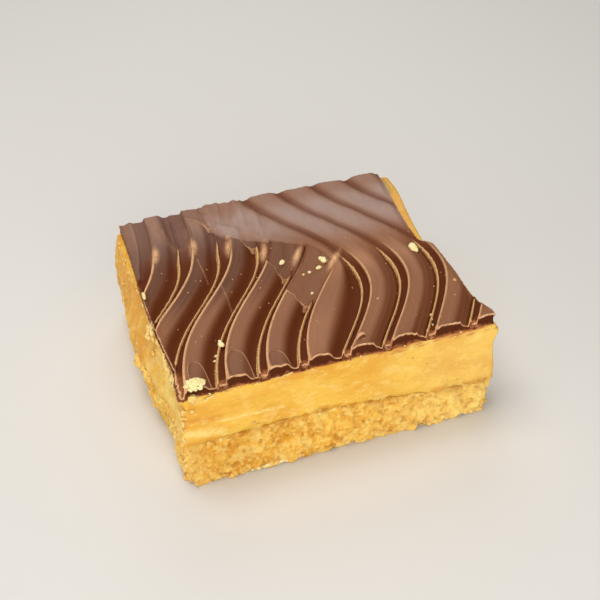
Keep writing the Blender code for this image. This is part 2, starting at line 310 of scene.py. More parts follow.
class Amount:
    """A number in a node tree. Python's operators on it add Math nodes."""

    def __init__(self, recipe: "Recipe", socket: bpy.types.NodeSocket) -> None:
        """Keep the node tree and the socket that gives the number."""
        self.recipe = recipe
        self.socket = socket

    def maths(self, operation: str, *values: "Amount | float") -> "Amount":
        """Add a Math node of that operation on these values."""
        return self.recipe.node("ShaderNodeMath", {"operation": operation}, dict(enumerate(values)))

    def __add__(self, other: "Amount | float") -> "Amount":
        """Add."""
        return self.maths("ADD", self, other)

    def __sub__(self, other: "Amount | float") -> "Amount":
        """Subtract."""
        return self.maths("SUBTRACT", self, other)

    def __rsub__(self, other: float) -> "Amount":
        """Subtract from a number."""
        return self.maths("SUBTRACT", other, self)

    def __mul__(self, other: "Amount | float") -> "Amount":
        """Multiply."""
        return self.maths("MULTIPLY", self, other)

    __radd__ = __add__
    __rmul__ = __mul__

    def at_most(self, other: "Amount | float") -> "Amount":
        """Take the smaller one."""
        return self.maths("MINIMUM", self, other)

    def at_least(self, other: "Amount | float") -> "Amount":
        """Take the larger one."""
        return self.maths("MAXIMUM", self, other)

    def between(self, low: float, high: float) -> "Amount":
        """Rise smoothly from 0 at low to 1 at high."""
        inputs = {"Value": self, "From Min": low, "From Max": high}
        return self.recipe.node("ShaderNodeMapRange", {"interpolation_type": "SMOOTHSTEP"}, inputs)


class Recipe:
    """A material's node tree, and the few ways in which this slice's finishes add to it."""

    def __init__(self, name: str) -> None:
        """Start a material with a Principled shader."""
        self.material = bpy.data.materials.new(name)
        self.material.use_nodes = True
        self.tree = self.material.node_tree
        self.shader = self.tree.nodes["Principled BSDF"]
        self.place = self.node("ShaderNodeTexCoord", {}, {}, "Object")

    def node(self, kind: str, settings: dict, inputs: dict, output: str | int = 0) -> Amount:
        """Add a node.

        Args:
            kind: The node's type.
            settings: What is set on the node itself, before its sockets. A ramp's stops are under "stops".
            inputs: Numbers, colours or links by the socket's name or number.
            output: The name or number of the socket to use.

        Returns:
            The output, on which operators work.
        """
        made = self.tree.nodes.new(kind)
        for key, value in settings.items():
            if key == "stops":
                self.set_stops(made.color_ramp, value)
            else:
                setattr(made, key, value)
        for key, value in inputs.items():
            if isinstance(value, Amount):
                self.tree.links.new(value.socket, made.inputs[key])
            else:
                made.inputs[key].default_value = value
        return Amount(self, made.outputs[output])

    def set_stops(self, ramp: bpy.types.ColorRamp, stops: Sequence[tuple[float, Colour]]) -> None:
        """Set a ramp's places and colours."""
        while len(ramp.elements) < len(stops):
            ramp.elements.new(0.5)
        for element, (position, colour) in zip(ramp.elements, stops):
            element.position = position
            element.color = (*colour, 1.0)

    def attribute(self, name: str) -> Amount:
        """Read a number that the mesh holds at each point."""
        return self.node("ShaderNodeAttribute", {"attribute_name": name}, {}, "Fac")

    def stretched(self, scale: tuple[float, float, float]) -> Amount:
        """Stretch the object's coordinates, given in features for each millimetre along x, y and z."""
        wanted = tuple(s / MM for s in scale)
        return self.node("ShaderNodeMapping", {}, {"Vector": self.place, "Scale": wanted})

    def speckle(self, scale: tuple[float, float, float], detail: float = 3.0) -> Amount:
        """Give noise about 0.5 at that many features for each millimetre along x, y and z."""
        inputs = {"Vector": self.stretched(scale), "Scale": 1.0, "Detail": detail, "Roughness": 0.55}
        return self.node("ShaderNodeTexNoise", {}, inputs)

    def blend(self, share: "Amount | float", first: "Amount | Colour", second: "Amount | Colour") -> Amount:
        """Mix two colours, from the first at share 0 to the second at 1."""
        pair = [c if isinstance(c, Amount) else (*c, 1.0) for c in (first, second)]
        return self.node("ShaderNodeMix", {"data_type": "RGBA"}, {0: share, 6: pair[0], 7: pair[1]}, 2)

    def relief(self, height: Amount, depth: float, below: Amount | None = None) -> Amount:
        """Turn heights from 0 to 1 into a Bump that deep, in millimetres, over the one below."""
        inputs = {"Height": height, "Distance": depth * MM, "Strength": 1.0}
        if below:
            inputs["Normal"] = below
        return self.node("ShaderNodeBump", {}, inputs)

    def dress(self, inputs: dict) -> bpy.types.Material:
        """Set the shader's sockets to numbers or links and return the material."""
        for key, value in inputs.items():
            if isinstance(value, Amount):
                self.tree.links.new(value.socket, self.shader.inputs[key])
            else:
                self.shader.inputs[key].default_value = value
        return self.material


@dataclass(frozen=True)
class ChocolateFinish:
    """Milk chocolate: tan where an edge is thin or scraped, with a painted highlight on it; greyish painted
    sheen on the lobes behind; painted light and shade on the flats; slopes and grooves darker, partly as
    painted shade, and the front cut darkened as painted shade.
    """

    flat: Colour = linear(137, 88, 56)
    # The brown down the slopes and in the grooves: partly thinner chocolate, partly painted shade.
    deep: Colour = linear(92, 39, 3)
    # Painted shade on the lobes' flats.
    painted_shade: Colour = linear(92, 47, 14)
    # Painted light on the lobes' flats.
    sheen: Colour = linear(166, 114, 80)
    # Tan of thin or scraped edges, with a painted highlight on them.
    tan: Colour = linear(224, 174, 128)
    fin: Colour = linear(216, 170, 112)
    # Greyish painted sheen: the reflection on the lobes at the back.
    bloom: Colour = linear(161, 135, 124)
    skin: Colour = linear(123, 79, 55)
    # Painted shade on the front cut wall.
    cut: Colour = linear(82, 33, 0)
    smear: Colour = linear(174, 107, 66)

    def material(self) -> bpy.types.Material:
        """Build the material."""
        r = Recipe("chocolate")
        clouds = r.speckle((0.12, 0.12, 0.12))
        fine = r.speckle((2.2, 2.2, 2.2), 4.0)
        broken = r.speckle((0.8, 0.8, 0.8), 5.0).between(0.25, 0.5)
        high = r.attribute("high")
        flap = r.attribute("flap")
        outline = (1.0 - flap.maths("ABSOLUTE", flap) * 5.5).at_least(0.0)
        # Painted light where positive and painted shade where negative, on the flats.
        sheen = r.attribute("sheen")
        flat = r.blend(sheen.at_least(0.0), self.flat, self.sheen)
        flat = r.blend((0.0 - sheen).between(0.0, 1.0), flat, self.painted_shade)
        # Darker down the slopes and in the grooves: partly thinner chocolate, partly painted shade.
        body = r.blend(high, self.deep, flat)
        # Painted sheen: the greyish reflection on the lobes at the back.
        body = r.blend(r.attribute("bloom") * (0.55 + 0.6 * clouds), body, self.bloom)
        body = r.blend(0.6 * flap.between(0.0, 0.6), body, self.skin)
        # The front cut wall darkened: painted shade.
        body = r.blend(r.attribute("cut"), body, self.cut)
        body = r.blend(r.attribute("smear") * (0.3 + 0.7 * fine.between(0.3, 0.6)), body, self.smear)
        rough_edge = fine - 0.5
        lip = (r.attribute("lip") + 0.35 * rough_edge).between(0.05, 0.80)
        fin = (r.attribute("fin") + 0.60 * rough_edge).between(0.28, 0.62)
        # The edges' tan: scraped chocolate with a painted highlight.
        body = r.blend((lip * (0.5 + 0.55 * broken)).at_most(1.0), body, self.tan)
        body = r.blend((fin * (0.6 + 0.4 * broken)).at_most(1.0), body, self.fin)
        body = r.blend(0.65 * outline, body, self.tan)
        rough = 0.74 + 0.10 * clouds - 0.38 * high + 0.22 * r.attribute("lip") + 0.2 * r.attribute("cut")
        waves = r.relief(r.speckle((0.9, 0.25, 0.9), 2.0), 0.10)
        skin = r.relief(fine, 0.035, r.relief(outline, 0.12, waves))
        return r.dress({"Base Color": body, "Roughness": rough.at_most(0.85), "Normal": skin,
                        "IOR": 1.46, "Specular IOR Level": 0.22,
                        "Subsurface Weight": 0.06, "Subsurface Radius": (1.0, 0.45, 0.25),
                        "Subsurface Scale": 0.6 * MM})


@dataclass(frozen=True)
class CaramelFinish:
    """Set caramel: deep gold, a little see-through, pale where it was dragged, with a painted highlight on
    the raised drags, and brown where smeared.
    """

    gold: Colour = linear(242, 194, 76)
    deep: Colour = linear(230, 168, 48)
    pale: Colour = linear(255, 224, 140)
    amber: Colour = linear(214, 136, 30)
    stain: Colour = linear(196, 122, 62)
    glow: float = 0.45

    def material(self) -> bpy.types.Material:
        """Build the material."""
        r = Recipe("caramel")
        clouds = r.speckle((0.09, 0.09, 0.18))
        drags = r.speckle((0.42, 0.42, 0.95), 5.0)
        fine = r.speckle((1.6, 1.6, 2.4), 4.0)
        pale = r.attribute("pale")
        mottle = r.speckle((0.34, 0.34, 0.5), 4.0)
        body = r.blend(clouds.between(0.35, 0.68), self.gold, self.deep)
        body = r.blend(0.35 * mottle.between(0.5, 0.66), body, self.pale)
        body = r.blend(0.5 * fine.between(0.48, 0.3), body, self.deep)
        # Pale drags, with a painted highlight on the raised ones.
        body = r.blend((pale + 0.35 * drags.between(0.60, 0.74)).at_most(1.0), body, self.pale)
        body = r.blend(r.attribute("dark"), body, self.amber)
        body = r.blend(r.attribute("stain"), body, self.stain)
        rough = 0.42 + 0.22 * fine
        height = r.relief(drags, 0.30)
        return r.dress({"Base Color": body, "Roughness": rough, "Normal": r.relief(fine, 0.07, height),
                        "Subsurface Weight": self.glow, "Subsurface Radius": (1.0, 0.55, 0.18),
                        "Subsurface Scale": 1.6 * MM, "IOR": 1.45})


@dataclass(frozen=True)
class BiscuitFinish:
    """Shortbread: golden crumb with orange, pits darkened as painted shade in the hollows, and pale grains.
    """

    gold: Colour = linear(246, 192, 78)
    orange: Colour = linear(222, 156, 44)
    pale: Colour = linear(255, 224, 130)
    pit: Colour = linear(184, 112, 24)
    glow: float = 0.08

    def material(self, name: str = "biscuit") -> bpy.types.Material:
        """Build the material.

        Args:
            name: The material's name.

        Returns:
            The material, which reads the mesh's "pale" and "pit".
        """
        r = Recipe(name)
        clouds = r.speckle((0.16, 0.16, 0.2), 4.0)
        fine = r.speckle((2.2, 2.2, 2.2), 5.0)
        crumb = r.speckle((0.9, 0.9, 0.9), 5.0)
        blotch = r.speckle((0.34, 0.34, 0.34), 4.0)
        body = r.blend(clouds.between(0.42, 0.62), self.gold, self.orange)
        body = r.blend(0.55 * blotch.between(0.5, 0.62), body, self.pale)
        body = r.blend(0.35 * blotch.between(0.5, 0.38), body, self.orange)
        body = r.blend(0.5 * crumb.between(0.5, 0.68), body, self.pale)
        # Darker where the fine relief sinks: painted shade in the hollows.
        body = r.blend(0.45 * fine.between(0.44, 0.28), body, self.pit)
        body = r.blend(0.7 * r.attribute("pale"), body, self.pale)
        # The mesh's pit: painted shade in the crumb's hollows, the dark joint under the caramel, and darker
        # on the front's left half.
        body = r.blend(r.attribute("pit"), body, self.pit)
        height = r.relief(crumb, 0.32)
        return r.dress({"Base Color": body, "Roughness": 0.75 + 0.15 * fine,
                        "Normal": r.relief(fine, 0.2, height),
                        "Subsurface Weight": self.glow, "Subsurface Radius": (1.0, 0.5, 0.15),
                        "Subsurface Scale": 0.8 * MM, "Specular IOR Level": 0.3})


# The chocolate.


@dataclass(frozen=True)
class Tongue:
    """A thin flap of chocolate pressed flat on a front lobe, arched at its back.

    Its left and right feet and the top of its arch are places, as x and y. A strength below 1 makes a
    fainter flap.
    """

    left: tuple[float, float]
    top: tuple[float, float]
    right: tuple[float, float]
    strength: float = 1.0

    def offset(self, x: float, y: float) -> float:
        """Return how far a place lies inside the arch, in millimetres, or how far outside as a negative."""
        front = min(self.left[1], self.right[1])
        up = min((y - front) / (self.top[1] - front), 1.2)
        middle = 0.5 * (self.left[0] + self.right[0])
        middle += (self.top[0] - middle) * max(up, 0.0)
        half = 0.5 * (self.right[0] - self.left[0]) * math.sqrt(max(1.0 - max(up, 0.0) ** 2.8, 0.0))
        beyond = max(y - self.top[1], 0.0)
        return half - math.hypot(x - middle, beyond)


@dataclass(frozen=True)
class Crease:
    """A thin raised line in the chocolate, through these places."""

    places: tuple[tuple[float, float], ...]
    height: float = 0.12
    run: float = 0.22

    MARGIN = 1.0
    FAR = 9.0

    def at(self, x: float, y: float) -> float:
        """Return the crease's height at a place."""
        nearest = self.FAR
        for (ax, ay), (bx, by) in zip(self.places, self.places[1:]):
            within_x = min(ax, bx) - self.MARGIN <= x <= max(ax, bx) + self.MARGIN
            if not within_x or not min(ay, by) - self.MARGIN <= y <= max(ay, by) + self.MARGIN:
                continue
            length = (bx - ax) ** 2 + (by - ay) ** 2
            share = min(max(((x - ax) * (bx - ax) + (y - ay) * (by - ay)) / length, 0.0), 1.0)
            nearest = min(nearest, math.hypot(x - ax - share * (bx - ax), y - ay - share * (by - ay)))
        return self.height * bump(nearest, self.run) if nearest < self.FAR else 0.0


@dataclass
class Spot:
    """One point of the combed surface, and how its finish differs there, each from 0 to 1."""

    x: float
    z: float
    # high darkens the colour towards the slopes and grooves, partly as painted shade.
    high: float = 0.0
    lip: float = 0.0
    fin: float = 0.0
    bloom: float = 0.0
    flap: float = -1.0
    smear: float = 0.0
    sheen: float = 0.0

    def towards(self, other: "Spot", share: float, x: float) -> "Spot":
        """Return the spot a share of the way to another one, at x."""
        mixed = [a + (b - a) * share for a, b in (
            (self.z, other.z), (self.high, other.high), (self.lip, other.lip), (self.fin, other.fin),
            (self.bloom, other.bloom), (self.flap, other.flap), (self.smear, other.smear),
            (self.sheen, other.sheen))]
        return Spot(x, *mixed)


@dataclass(frozen=True)
class LobeRow:
    """One lobe on one row: where its lines lie, its levels, and the shares that its slope runs between."""

    lobe: int
    y: float
    left: float
    fin: float
    right: float
    soft: float
    valley: float
    groove: float
    fin_top: float
    burr: float
    slope: Span

    @property
    def wide(self) -> float:
        """Return the distance from the lobe's edge to its fin."""
        return self.fin - self.left

    @property
    def gap(self) -> float:
        """Return the width of the groove on the fin's right."""
        return self.right - self.fin

    @property
    def from_front(self) -> float:
        """Return how far the row lies behind the front cut."""
        return self.y + CUTS.depth / 2


@dataclass
class CombedChocolate:
    """The chocolate coat, combed into wavy lobes in two strokes before the knife cut it."""

    edge_left: float = -33.3
    left_bite: Swell = Swell(0.5, -24.0, 5.0)
    left_out: Swell = Swell(-0.4, -3.0, 10.0)
    left_behind: float = 0.6
    left_behind_y: Span = (2.0, 26.0)
    edge_right: float = 32.2
    right_bite: Swell = Swell(-0.4, -20.0, 4.0)
    right_out: Swell = Swell(0.9, -29.0, 3.0)
    notch_x: float = 29.7
    notch_y: Span = (-2.6, 1.0)
    notch_behind: float = 2.6
    notch_behind_y: Span = (3.0, 34.0)
    edge_wave_front: float = 0.1
    edge_wave_back: float = 0.25
    edge_wave_rate: float = 0.5
    edge_z: float = 25.75
    flat_z: float = 25.35
    lean: float = 0.1
    valley_z: float = 23.95
    highest: float = 26.25
    fin_z: float = 25.1
    groove_z: float = 24.35
    fin_half_width: float = 0.22
    flat_share: float = 0.56
    slope_from: float = 0.52
    slope_share: float = 0.87
    slope_least: float = 0.2
    high_shares: Span = (0.34, 0.72)
    valley_wave: float = 0.12
    burr: float = 0.22
    burr_run: float = 0.20
    shoulder: float = 0.42
    shoulder_behind: Span = (2.9, 2.3)
    shoulder_before: Span = (0.55, 1.0)
    groove_rise: Span = (0.80, 1.0)
    groove_lip: Span = (0.86, 1.0)
    lip_at: float = 0.10
    lip_run: float = 0.27
    lip_run_soft: float = 0.16
    fin_run: float = 0.32
    fin_run_left: float = 0.50
    fade: float = 0.75
    fade_y: Span = (8.0, 20.0)
    first_lobes: range = range(-3, 3)
    first_edge_x: float = -21.0
    first_pitch: float = 9.0
    first_swing: float = 12.5
    first_bend_y: float = -6.0
    first_run: float = 16.0
    groove_narrowest: float = 1.4
    groove_narrowest_y: float = -10.0
    groove_widest: float = 3.3
    groove_opens_front: float = 0.0013
    groove_opens_back: float = 0.0042
    second_lobes: range = range(3, 9)
    seam_lobe: int = 3
    second_fin_x: float = 20.75
    second_fin_lobe: int = 5
    second_pitch: float = 8.75
    second_groove: float = 1.9
    second_swing_front: float = 9.5
    second_swing_back: float = 8.2
    second_bend_y: float = -6.0
    second_run: float = 44.0
    seam_left_x: float = -14.0
    seam_sweep: float = 23.0
    seam_bend: Span = (11.0, 5.5)
    seam_rounding: float = 0.8
    stray_y: Span = (-10.0, -32.0)
    strays: dict[int, float] = field(
        default_factory=lambda: {1: -0.65, 2: -1.3, 3: -1.95, 4: -1.1, 5: -1.2, 6: -0.4, 7: 0.4})
    second_soft_y: Span = (-6.0, 6.0)
    first_soft_y: Span = (10.0, 22.0)
    first_softest: float = 0.4
    soft_valley: float = 0.35
    soft_groove: float = 0.5
    soft_edge: float = 0.2
    soft_seam_edge: float = 0.4
    soft_edge_run: float = 1.2
    soft_dip: float = 0.6
    soft_dip_run: float = 1.3
    fold_height: float = 0.75
    fold_y: Span = (9.0, 15.0)
    fold_x: Span = (4.0, -4.0)
    fold_skew: float = 0.08
    rim_line: float = 0.38
    rim_line_z: Span = (24.5, 25.0)
    curl: float = 0.45
    curl_deep: float = 1.2
    curl_z: Span = (24.4, 25.2)
    curl_flat: Swell = Swell(1.0, -29.6, 2.4)
    corner_drop: float = 0.8
    corner_deep: Span = (0.9, 0.1)
    corner_wide: float = 1.3
    post_deep: float = 1.5
    post_from_x: Span = (-32.0, -31.0)
    # Painted light and painted shade on the lobes' flats, and where the greyish painted sheen lies behind.
    dim_first: float = 0.85
    dim_less: float = 0.2
    dim_front_y: Span = (-15.0, 1.0)
    dim_back_y: Span = (26.0, 15.0)
    lit: float = 0.15
    lit_band: Swell = Swell(0.55, -2.5, 4.5)
    lit_band_by_seam: Swell = Swell(0.8, -2.5, 4.5)
    lit_front: float = 0.35
    lit_front_y: Span = (-14.0, -22.0)
    dim_band: Swell = Swell(0.35, 11.0, 5.0)
    dim_back: float = 0.3
    rim_y: Span = (22.0, 28.0)
    painted_sheen_first: float = 0.38
    painted_sheen_first_y: Span = (8.0, 22.0)
    bloom: float = 0.95
    painted_sheen_y: Span = (3.0, 14.0)
    painted_sheen_seam_y: Span = (6.0, 19.0)
    skins: dict[int, float] = field(default_factory=lambda: {0: 21.0, 1: 9.7, 2: -3.5, 3: -14.5})
    skin_level: float = 0.85
    skin_early: float = 3.0
    worn: float = 0.75
    worn_z: float = 24.85
    worn_run: float = 1.3
    worn_from_front: Span = (1.0, 4.0)
    worn_back: float = 0.85
    worn_back_y: Span = (25.0, 30.0)
    broken_y: Span = (-24.0, -26.5)
    broken_wide: Span = (1.7, 0.3)
    rolled_y: Span = (4.0, 9.0)
    rolled_drop: float = 1.5
    tongues: tuple[Tongue, ...] = (
        Tongue((-30.9, -30.6), (-29.1, -23.3), (-27.2, -30.6)),
        Tongue((-23.4, -30.6), (-20.6, -22.8), (-18.6, -30.6)),
        Tongue((-15.0, -30.6), (-13.2, -25.6), (-11.0, -30.6), 0.7),
    )
    creases: tuple[Crease, ...] = (
        Crease(((-17.3, -1.0), (-16.8, -6.0), (-17.0, -10.0)), 0.07),
        Crease(((-19.5, 8.0), (-19.0, 3.0)), 0.08),
        Crease(((-24.0, 24.0), (-23.6, 19.0), (-22.2, 15.6), (-20.6, 15.4), (-19.3, 18.0), (-18.8, 23.0)),
               0.40, 0.8),
        Crease(((-5.0, 0.0), (-4.0, -2.5)), 0.12),
        Crease(((-16.0, 25.5), (-11.5, 21.0), (-8.0, 17.5), (-5.0, 15.0)), 0.30, 1.1),
    )
    # Swollen ends of the edges, raised and painted tan as a painted highlight.
    swellings: tuple[tuple[int, float, float], ...] = (  # the line's number, how far aside, and y
        (-2, 0.5, 14.3), (-1, 0.2, 14.6), (0, -0.6, 12.9), (1, -1.4, 8.3), (2, -1.9, 3.6), (3, -1.0, -0.8),
    )
    swelling_height: float = 0.28
    swelling_wide: float = 1.0
    swelling_long: float = 3.6
    swelling_sway: float = 8.0
    scratches: tuple[Crease, ...] = (
        Crease(((-19.4, 10.0), (-19.2, 1.5)), 0.35, 0.22),
        Crease(((-17.0, -1.6), (-17.0, -10.5)), 0.35, 0.22),
    )
    rows: int = 300
    finish: ChocolateFinish = ChocolateFinish()

    EDGE_STEPS = (0.0, 0.08, 0.17, 0.28, 0.46)
    FLAT_SHARES = (0.10, 0.14, 0.18, 0.22, 0.26, 0.30, 0.34, 0.38, 0.42, 0.46, 0.50, 0.54)
    SLOPE_SHARES = (0.59, 0.64, 0.69, 0.74, 0.79, 0.84, 0.89)
    FIN_STEPS = (-0.62, -0.46, -0.34, -0.24, -0.13, 0.0, 0.13, 0.24, 0.34, 0.46)
    GROOVE_SHARES = (0.5, 0.66, 0.8, 0.88, 0.95)

    # Lines, as x at a given y.

    def left_edge(self, y: float) -> float:
        """Return where the chocolate ends on the left."""
        waves = self.left_bite.at(y) + self.left_out.at(y)
        return self.edge_left + waves + self.left_behind * smooth(*self.left_behind_y, y)

    def right_edge(self, y: float) -> float:
        """Return where the chocolate ends on the right, with the piece that broke away behind the notch."""
        front = self.edge_right + self.right_bite.at(y) + self.right_out.at(y)
        behind = self.notch_x + self.notch_behind * smooth(*self.notch_behind_y, y)
        return front + (behind - front) * smooth(*self.notch_y, y)

    def stray(self, number: int, y: float) -> float:
        """Return how far a line strays in front, by number: a first-stroke edge or a second-stroke fin."""
        return self.strays.get(number, 0.0) * smooth(*self.stray_y, y)

    def first_edge(self, lobe: int, y: float) -> float:
        """Return the sharp left edge of a lobe of the first stroke."""
        swing = self.first_swing * math.tanh((y - self.first_bend_y) / self.first_run)
        return self.first_edge_x + lobe * self.first_pitch + swing + self.stray(lobe, y)

    def groove_width(self, y: float) -> float:
        """Return the distance from a fin of the first stroke to the lobe edge on its right."""
        away = y - self.groove_narrowest_y
        opens = self.groove_opens_front if away < 0.0 else self.groove_opens_back
        return min(self.groove_narrowest + opens * away * away, self.groove_widest)

    def second_fin(self, lobe: int, y: float) -> float:
        """Return the fin on the left of a lobe of the second stroke."""
        turn = y - self.second_bend_y
        swing = self.second_swing_front if turn < 0.0 else self.second_swing_back
        sway = swing * (math.cos(math.pi * turn / self.second_run) - 1.0)
        pitched = (lobe - self.second_fin_lobe) * self.second_pitch
        return self.second_fin_x + pitched + sway + self.stray(lobe, y)

    def seam(self, y: float) -> float:
        """Return the left edge of the second stroke's first lobe: along the first stroke, then across it."""
        across = self.seam_left_x + self.seam_sweep * step_down(y, *self.seam_bend)
        across += 0.7 * grain(y * 0.35, 3.0) + 0.3 * grain(y * 1.0, 8.0)
        along = self.first_edge(self.seam_lobe, y)
        rounding = self.seam_rounding
        return -rounding * math.log(math.exp(-along / rounding) + math.exp(-across / rounding))

    def lobe_marks(self, lobe: int, y: float) -> tuple[float, float, float]:
        """Return where a lobe has its left edge, the fin on its right, and the next lobe's edge."""
        if lobe < self.seam_lobe:
            following = self.first_edge(lobe + 1, y)
            return self.first_edge(lobe, y), following - self.groove_width(y), following
        fin = self.second_fin(lobe + 1, y)
        left = self.seam(y) if lobe == self.seam_lobe else self.second_fin(lobe, y) + self.second_groove
        return left, fin, fin + self.second_groove

    def softness(self, lobe: int, y: float) -> float:
        """Return how far the lobes have flowed together, from 0 to 1."""
        if lobe >= self.seam_lobe:
            return smooth(*self.second_soft_y, y)
        return self.first_softest * smooth(*self.first_soft_y, y)

    # The surface.

    def lobe_columns(self, left: float, fin: float, right: float) -> list[float]:
        """Return the x of each of a lobe's points, close together at its edge and its fin."""
        wide = fin - left
        places = [left + step for step in self.EDGE_STEPS]
        places += [left + share * wide for share in self.FLAT_SHARES + self.SLOPE_SHARES]
        places += [fin + step for step in self.FIN_STEPS]
        places += [fin + share * (right - fin) for share in self.GROOVE_SHARES]
        for number in range(1, len(places)):
            places[number] = max(places[number], places[number - 1] + 0.002)
        return places

    def lobe_row(self, lobe: int, y: float) -> LobeRow:
        """Work out a lobe's lines and levels on one row."""
        left, fin, right = self.lobe_marks(lobe, y)
        soft = self.softness(lobe, y)
        valley = self.valley_z + (self.flat_z - self.valley_z) * soft * self.soft_valley
        groove = self.groove_z + (self.flat_z - self.groove_z) * soft * self.soft_groove
        valley += self.valley_wave * grain(lobe * 3.1, y * 0.11)
        worn = smooth(*self.worn_back_y, y)
        fin_top = self.fin_z + 0.20 * grain(lobe * 7.7, y * 1.1) + 0.15 * grain(lobe * 5.1, y * 3.3)
        fin_top += (valley + self.lean - fin_top) * max(soft, self.worn_back * worn)
        burr = self.burr + 0.16 * grain(lobe * 2.3, y * 0.8, 4.0) + 0.08 * grain(lobe * 2.3, y * 3.1, 9.0)
        slope_end = min(self.slope_share, 1.0 - 4.0 * self.fin_half_width / (fin - left))
        slope = (min(self.slope_from, slope_end - self.slope_least), slope_end)
        return LobeRow(lobe, y, left, fin, right, soft, valley, groove, fin_top, burr * (1.0 - worn), slope)

    def combed(self, row: LobeRow, x: float) -> Spot:
        """Return the plain combed surface at x: the lobe's flat, slope, groove, fin and sharp edge."""
        along, to_fin = x - row.left, row.fin - x
        share = along / row.wide
        flat = self.flat_z + self.lean * (2.0 - 3.0 * share / self.flat_share)
        flat += 0.07 * grain(share * 2.2 + row.lobe * 5.0, row.y * 0.07)
        flat += 0.03 * grain(share * 9.0 + row.lobe, row.y * 0.16)
        z = flat + (row.valley - flat) * smooth(*row.slope, share)
        # high sets the colour from the deep brown to the flat's: darker down the slope and in the groove,
        # partly as painted shade.
        high = 1.0 - smooth(*self.high_shares, share)
        if row.lobe > self.seam_lobe:
            near = smooth(*self.shoulder_behind, to_fin) * smooth(*self.shoulder_before, to_fin)
            shoulder = self.shoulder * (1.0 - row.soft) * near
            z, high = z + shoulder, high + 0.8 * shoulder
        if x > row.fin:
            rise = smooth(*self.groove_rise, -to_fin / row.gap)
            z, high = row.groove + (self.edge_z - 0.1 - row.groove) * rise, 0.25 * rise
        if to_fin > 0.0 or row.fin_top > z:
            z += (row.fin_top - z) * math.exp(-((to_fin / (1.2 * self.fin_half_width)) ** 4))
        edge_drop = (self.soft_seam_edge if row.lobe == self.seam_lobe else self.soft_edge) * row.soft
        top = bump(along, self.burr_run) if along >= 0.0 and x < row.fin else 0.0
        z += row.burr * top - edge_drop * bump(along, self.soft_edge_run)
        if x < row.fin:
            # The lip: the edge's tan, scraped chocolate with a painted highlight, also along the front rim.
            lip = bump(along - self.lip_at, self.lip_run + self.lip_run_soft * row.soft)
        else:
            lip = smooth(*self.groove_lip, -to_fin / row.gap)
        thick = self.rim_line + 0.30 * grain(x * 0.6, 21.0)
        at_rim = smooth(thick, 0.5 * thick, row.from_front) * smooth(*self.rim_line_z, z)
        return Spot(x, z, high, max(lip, 0.8 * at_rim))

    def add_flow(self, spot: Spot, row: LobeRow) -> None:
        """Let the second stroke's lobes flow together behind, and fold them at the left of the seam."""
        if row.lobe < self.seam_lobe:
            return
        x, y, along, to_fin = spot.x, row.y, spot.x - row.left, row.fin - spot.x
        dip = bump(to_fin + 0.4 * row.gap, self.soft_dip_run) + bump(along + 0.6 * row.gap, self.soft_dip_run)
        lumpy = 0.20 * grain(x * 0.22, y * 0.22, 14.0) + 0.10 * grain(x * 0.6, y * 0.3, 3.0)
        spot.z += (self.flat_z + 0.05 + lumpy - self.soft_dip * dip - spot.z) * row.soft
        spot.high += (1.0 - 0.8 * dip - spot.high) * row.soft
        spot.lip *= 0.7
        if row.lobe == self.seam_lobe:
            spot.z += 0.30 * row.soft * grain(y * 0.6, 2.0) * bump(along - 0.6, 1.0)
            spot.z += self.fold_height * self.fold(x, y)

    def add_front(self, spot: Spot, row: LobeRow) -> None:
        """Curl the front rim up, drop each lobe's corner there, and leave ragged posts by the grooves."""
        x, along, to_fin = spot.x, spot.x - row.left, row.fin - spot.x
        curled = smooth(self.curl_deep, 0.0, row.from_front) * smooth(*self.curl_z, spot.z)
        curled *= 1.0 - self.curl_flat.at(x)
        spot.z += self.curl * curled * (1.0 + 0.9 * grain(x * 0.5, 12.0))
        if x < row.fin:
            at_corner = smooth(*self.corner_deep, row.from_front) * smooth(self.corner_wide, 0.0, along)
            spot.z -= self.corner_drop * at_corner * smooth(*self.curl_z, spot.z)
        spot.z = min(spot.z, self.highest)
        stray = 0.26 * grain(x * 0.8, row.y * 1.3, 4.0)
        post = max(smooth(0.40, 0.05, to_fin + stray), smooth(0.30, 0.0, along + stray))
        post *= smooth(self.post_deep + 4.0 * stray, 0.2, row.from_front) * (0.9 + 1.5 * stray)
        post *= smooth(*self.post_from_x, x)
        spot.z += post * (0.15 * grain(x * 2.0, row.y * 2.0) + 0.12 * grain(x * 5.0, row.y * 5.0))
        spot.smear = post

    def add_finish(self, spot: Spot, row: LobeRow) -> None:
        """Set how bright a point's edge and fin are, the painted light and shade on its flat, and how much
        painted sheen lies on it.
        """
        lobe, y, along, to_fin = row.lobe, row.y, spot.x - row.left, row.fin - spot.x
        plain = (1.0 - row.soft) * (1.0 - self.fade * smooth(*self.fade_y, y))
        run = self.fin_run_left if to_fin > 0.0 and lobe < self.seam_lobe else self.fin_run
        spot.lip *= plain
        spot.fin = bump(to_fin, run) * (1.0 + 0.5 * grain(y * 2.4, lobe * 3.0, 6.0)) * plain
        # Painted light and shade on the flat.
        spot.sheen = self.painted_light_at(lobe, along / row.wide, y)
        if lobe < self.seam_lobe:
            # A weaker painted sheen on the first stroke's lobes at the back.
            spot.bloom = self.painted_sheen_first * smooth(*self.painted_sheen_first_y, y)
            return
        # Less painted sheen beside the grooves.
        brown = min(bump(to_fin + 0.2 * row.gap, 2.2) + bump(along + 0.8 * row.gap, 1.6), 1.0)
        starts = self.painted_sheen_seam_y if lobe == self.seam_lobe else self.painted_sheen_y
        spot.bloom = self.bloom * smooth(*starts, y) * (1.0 - 0.75 * brown)
        spot.bloom *= (1.0 - 0.6 * smooth(*self.rim_y, y)) * (1.0 + 0.5 * self.fold(spot.x, y))

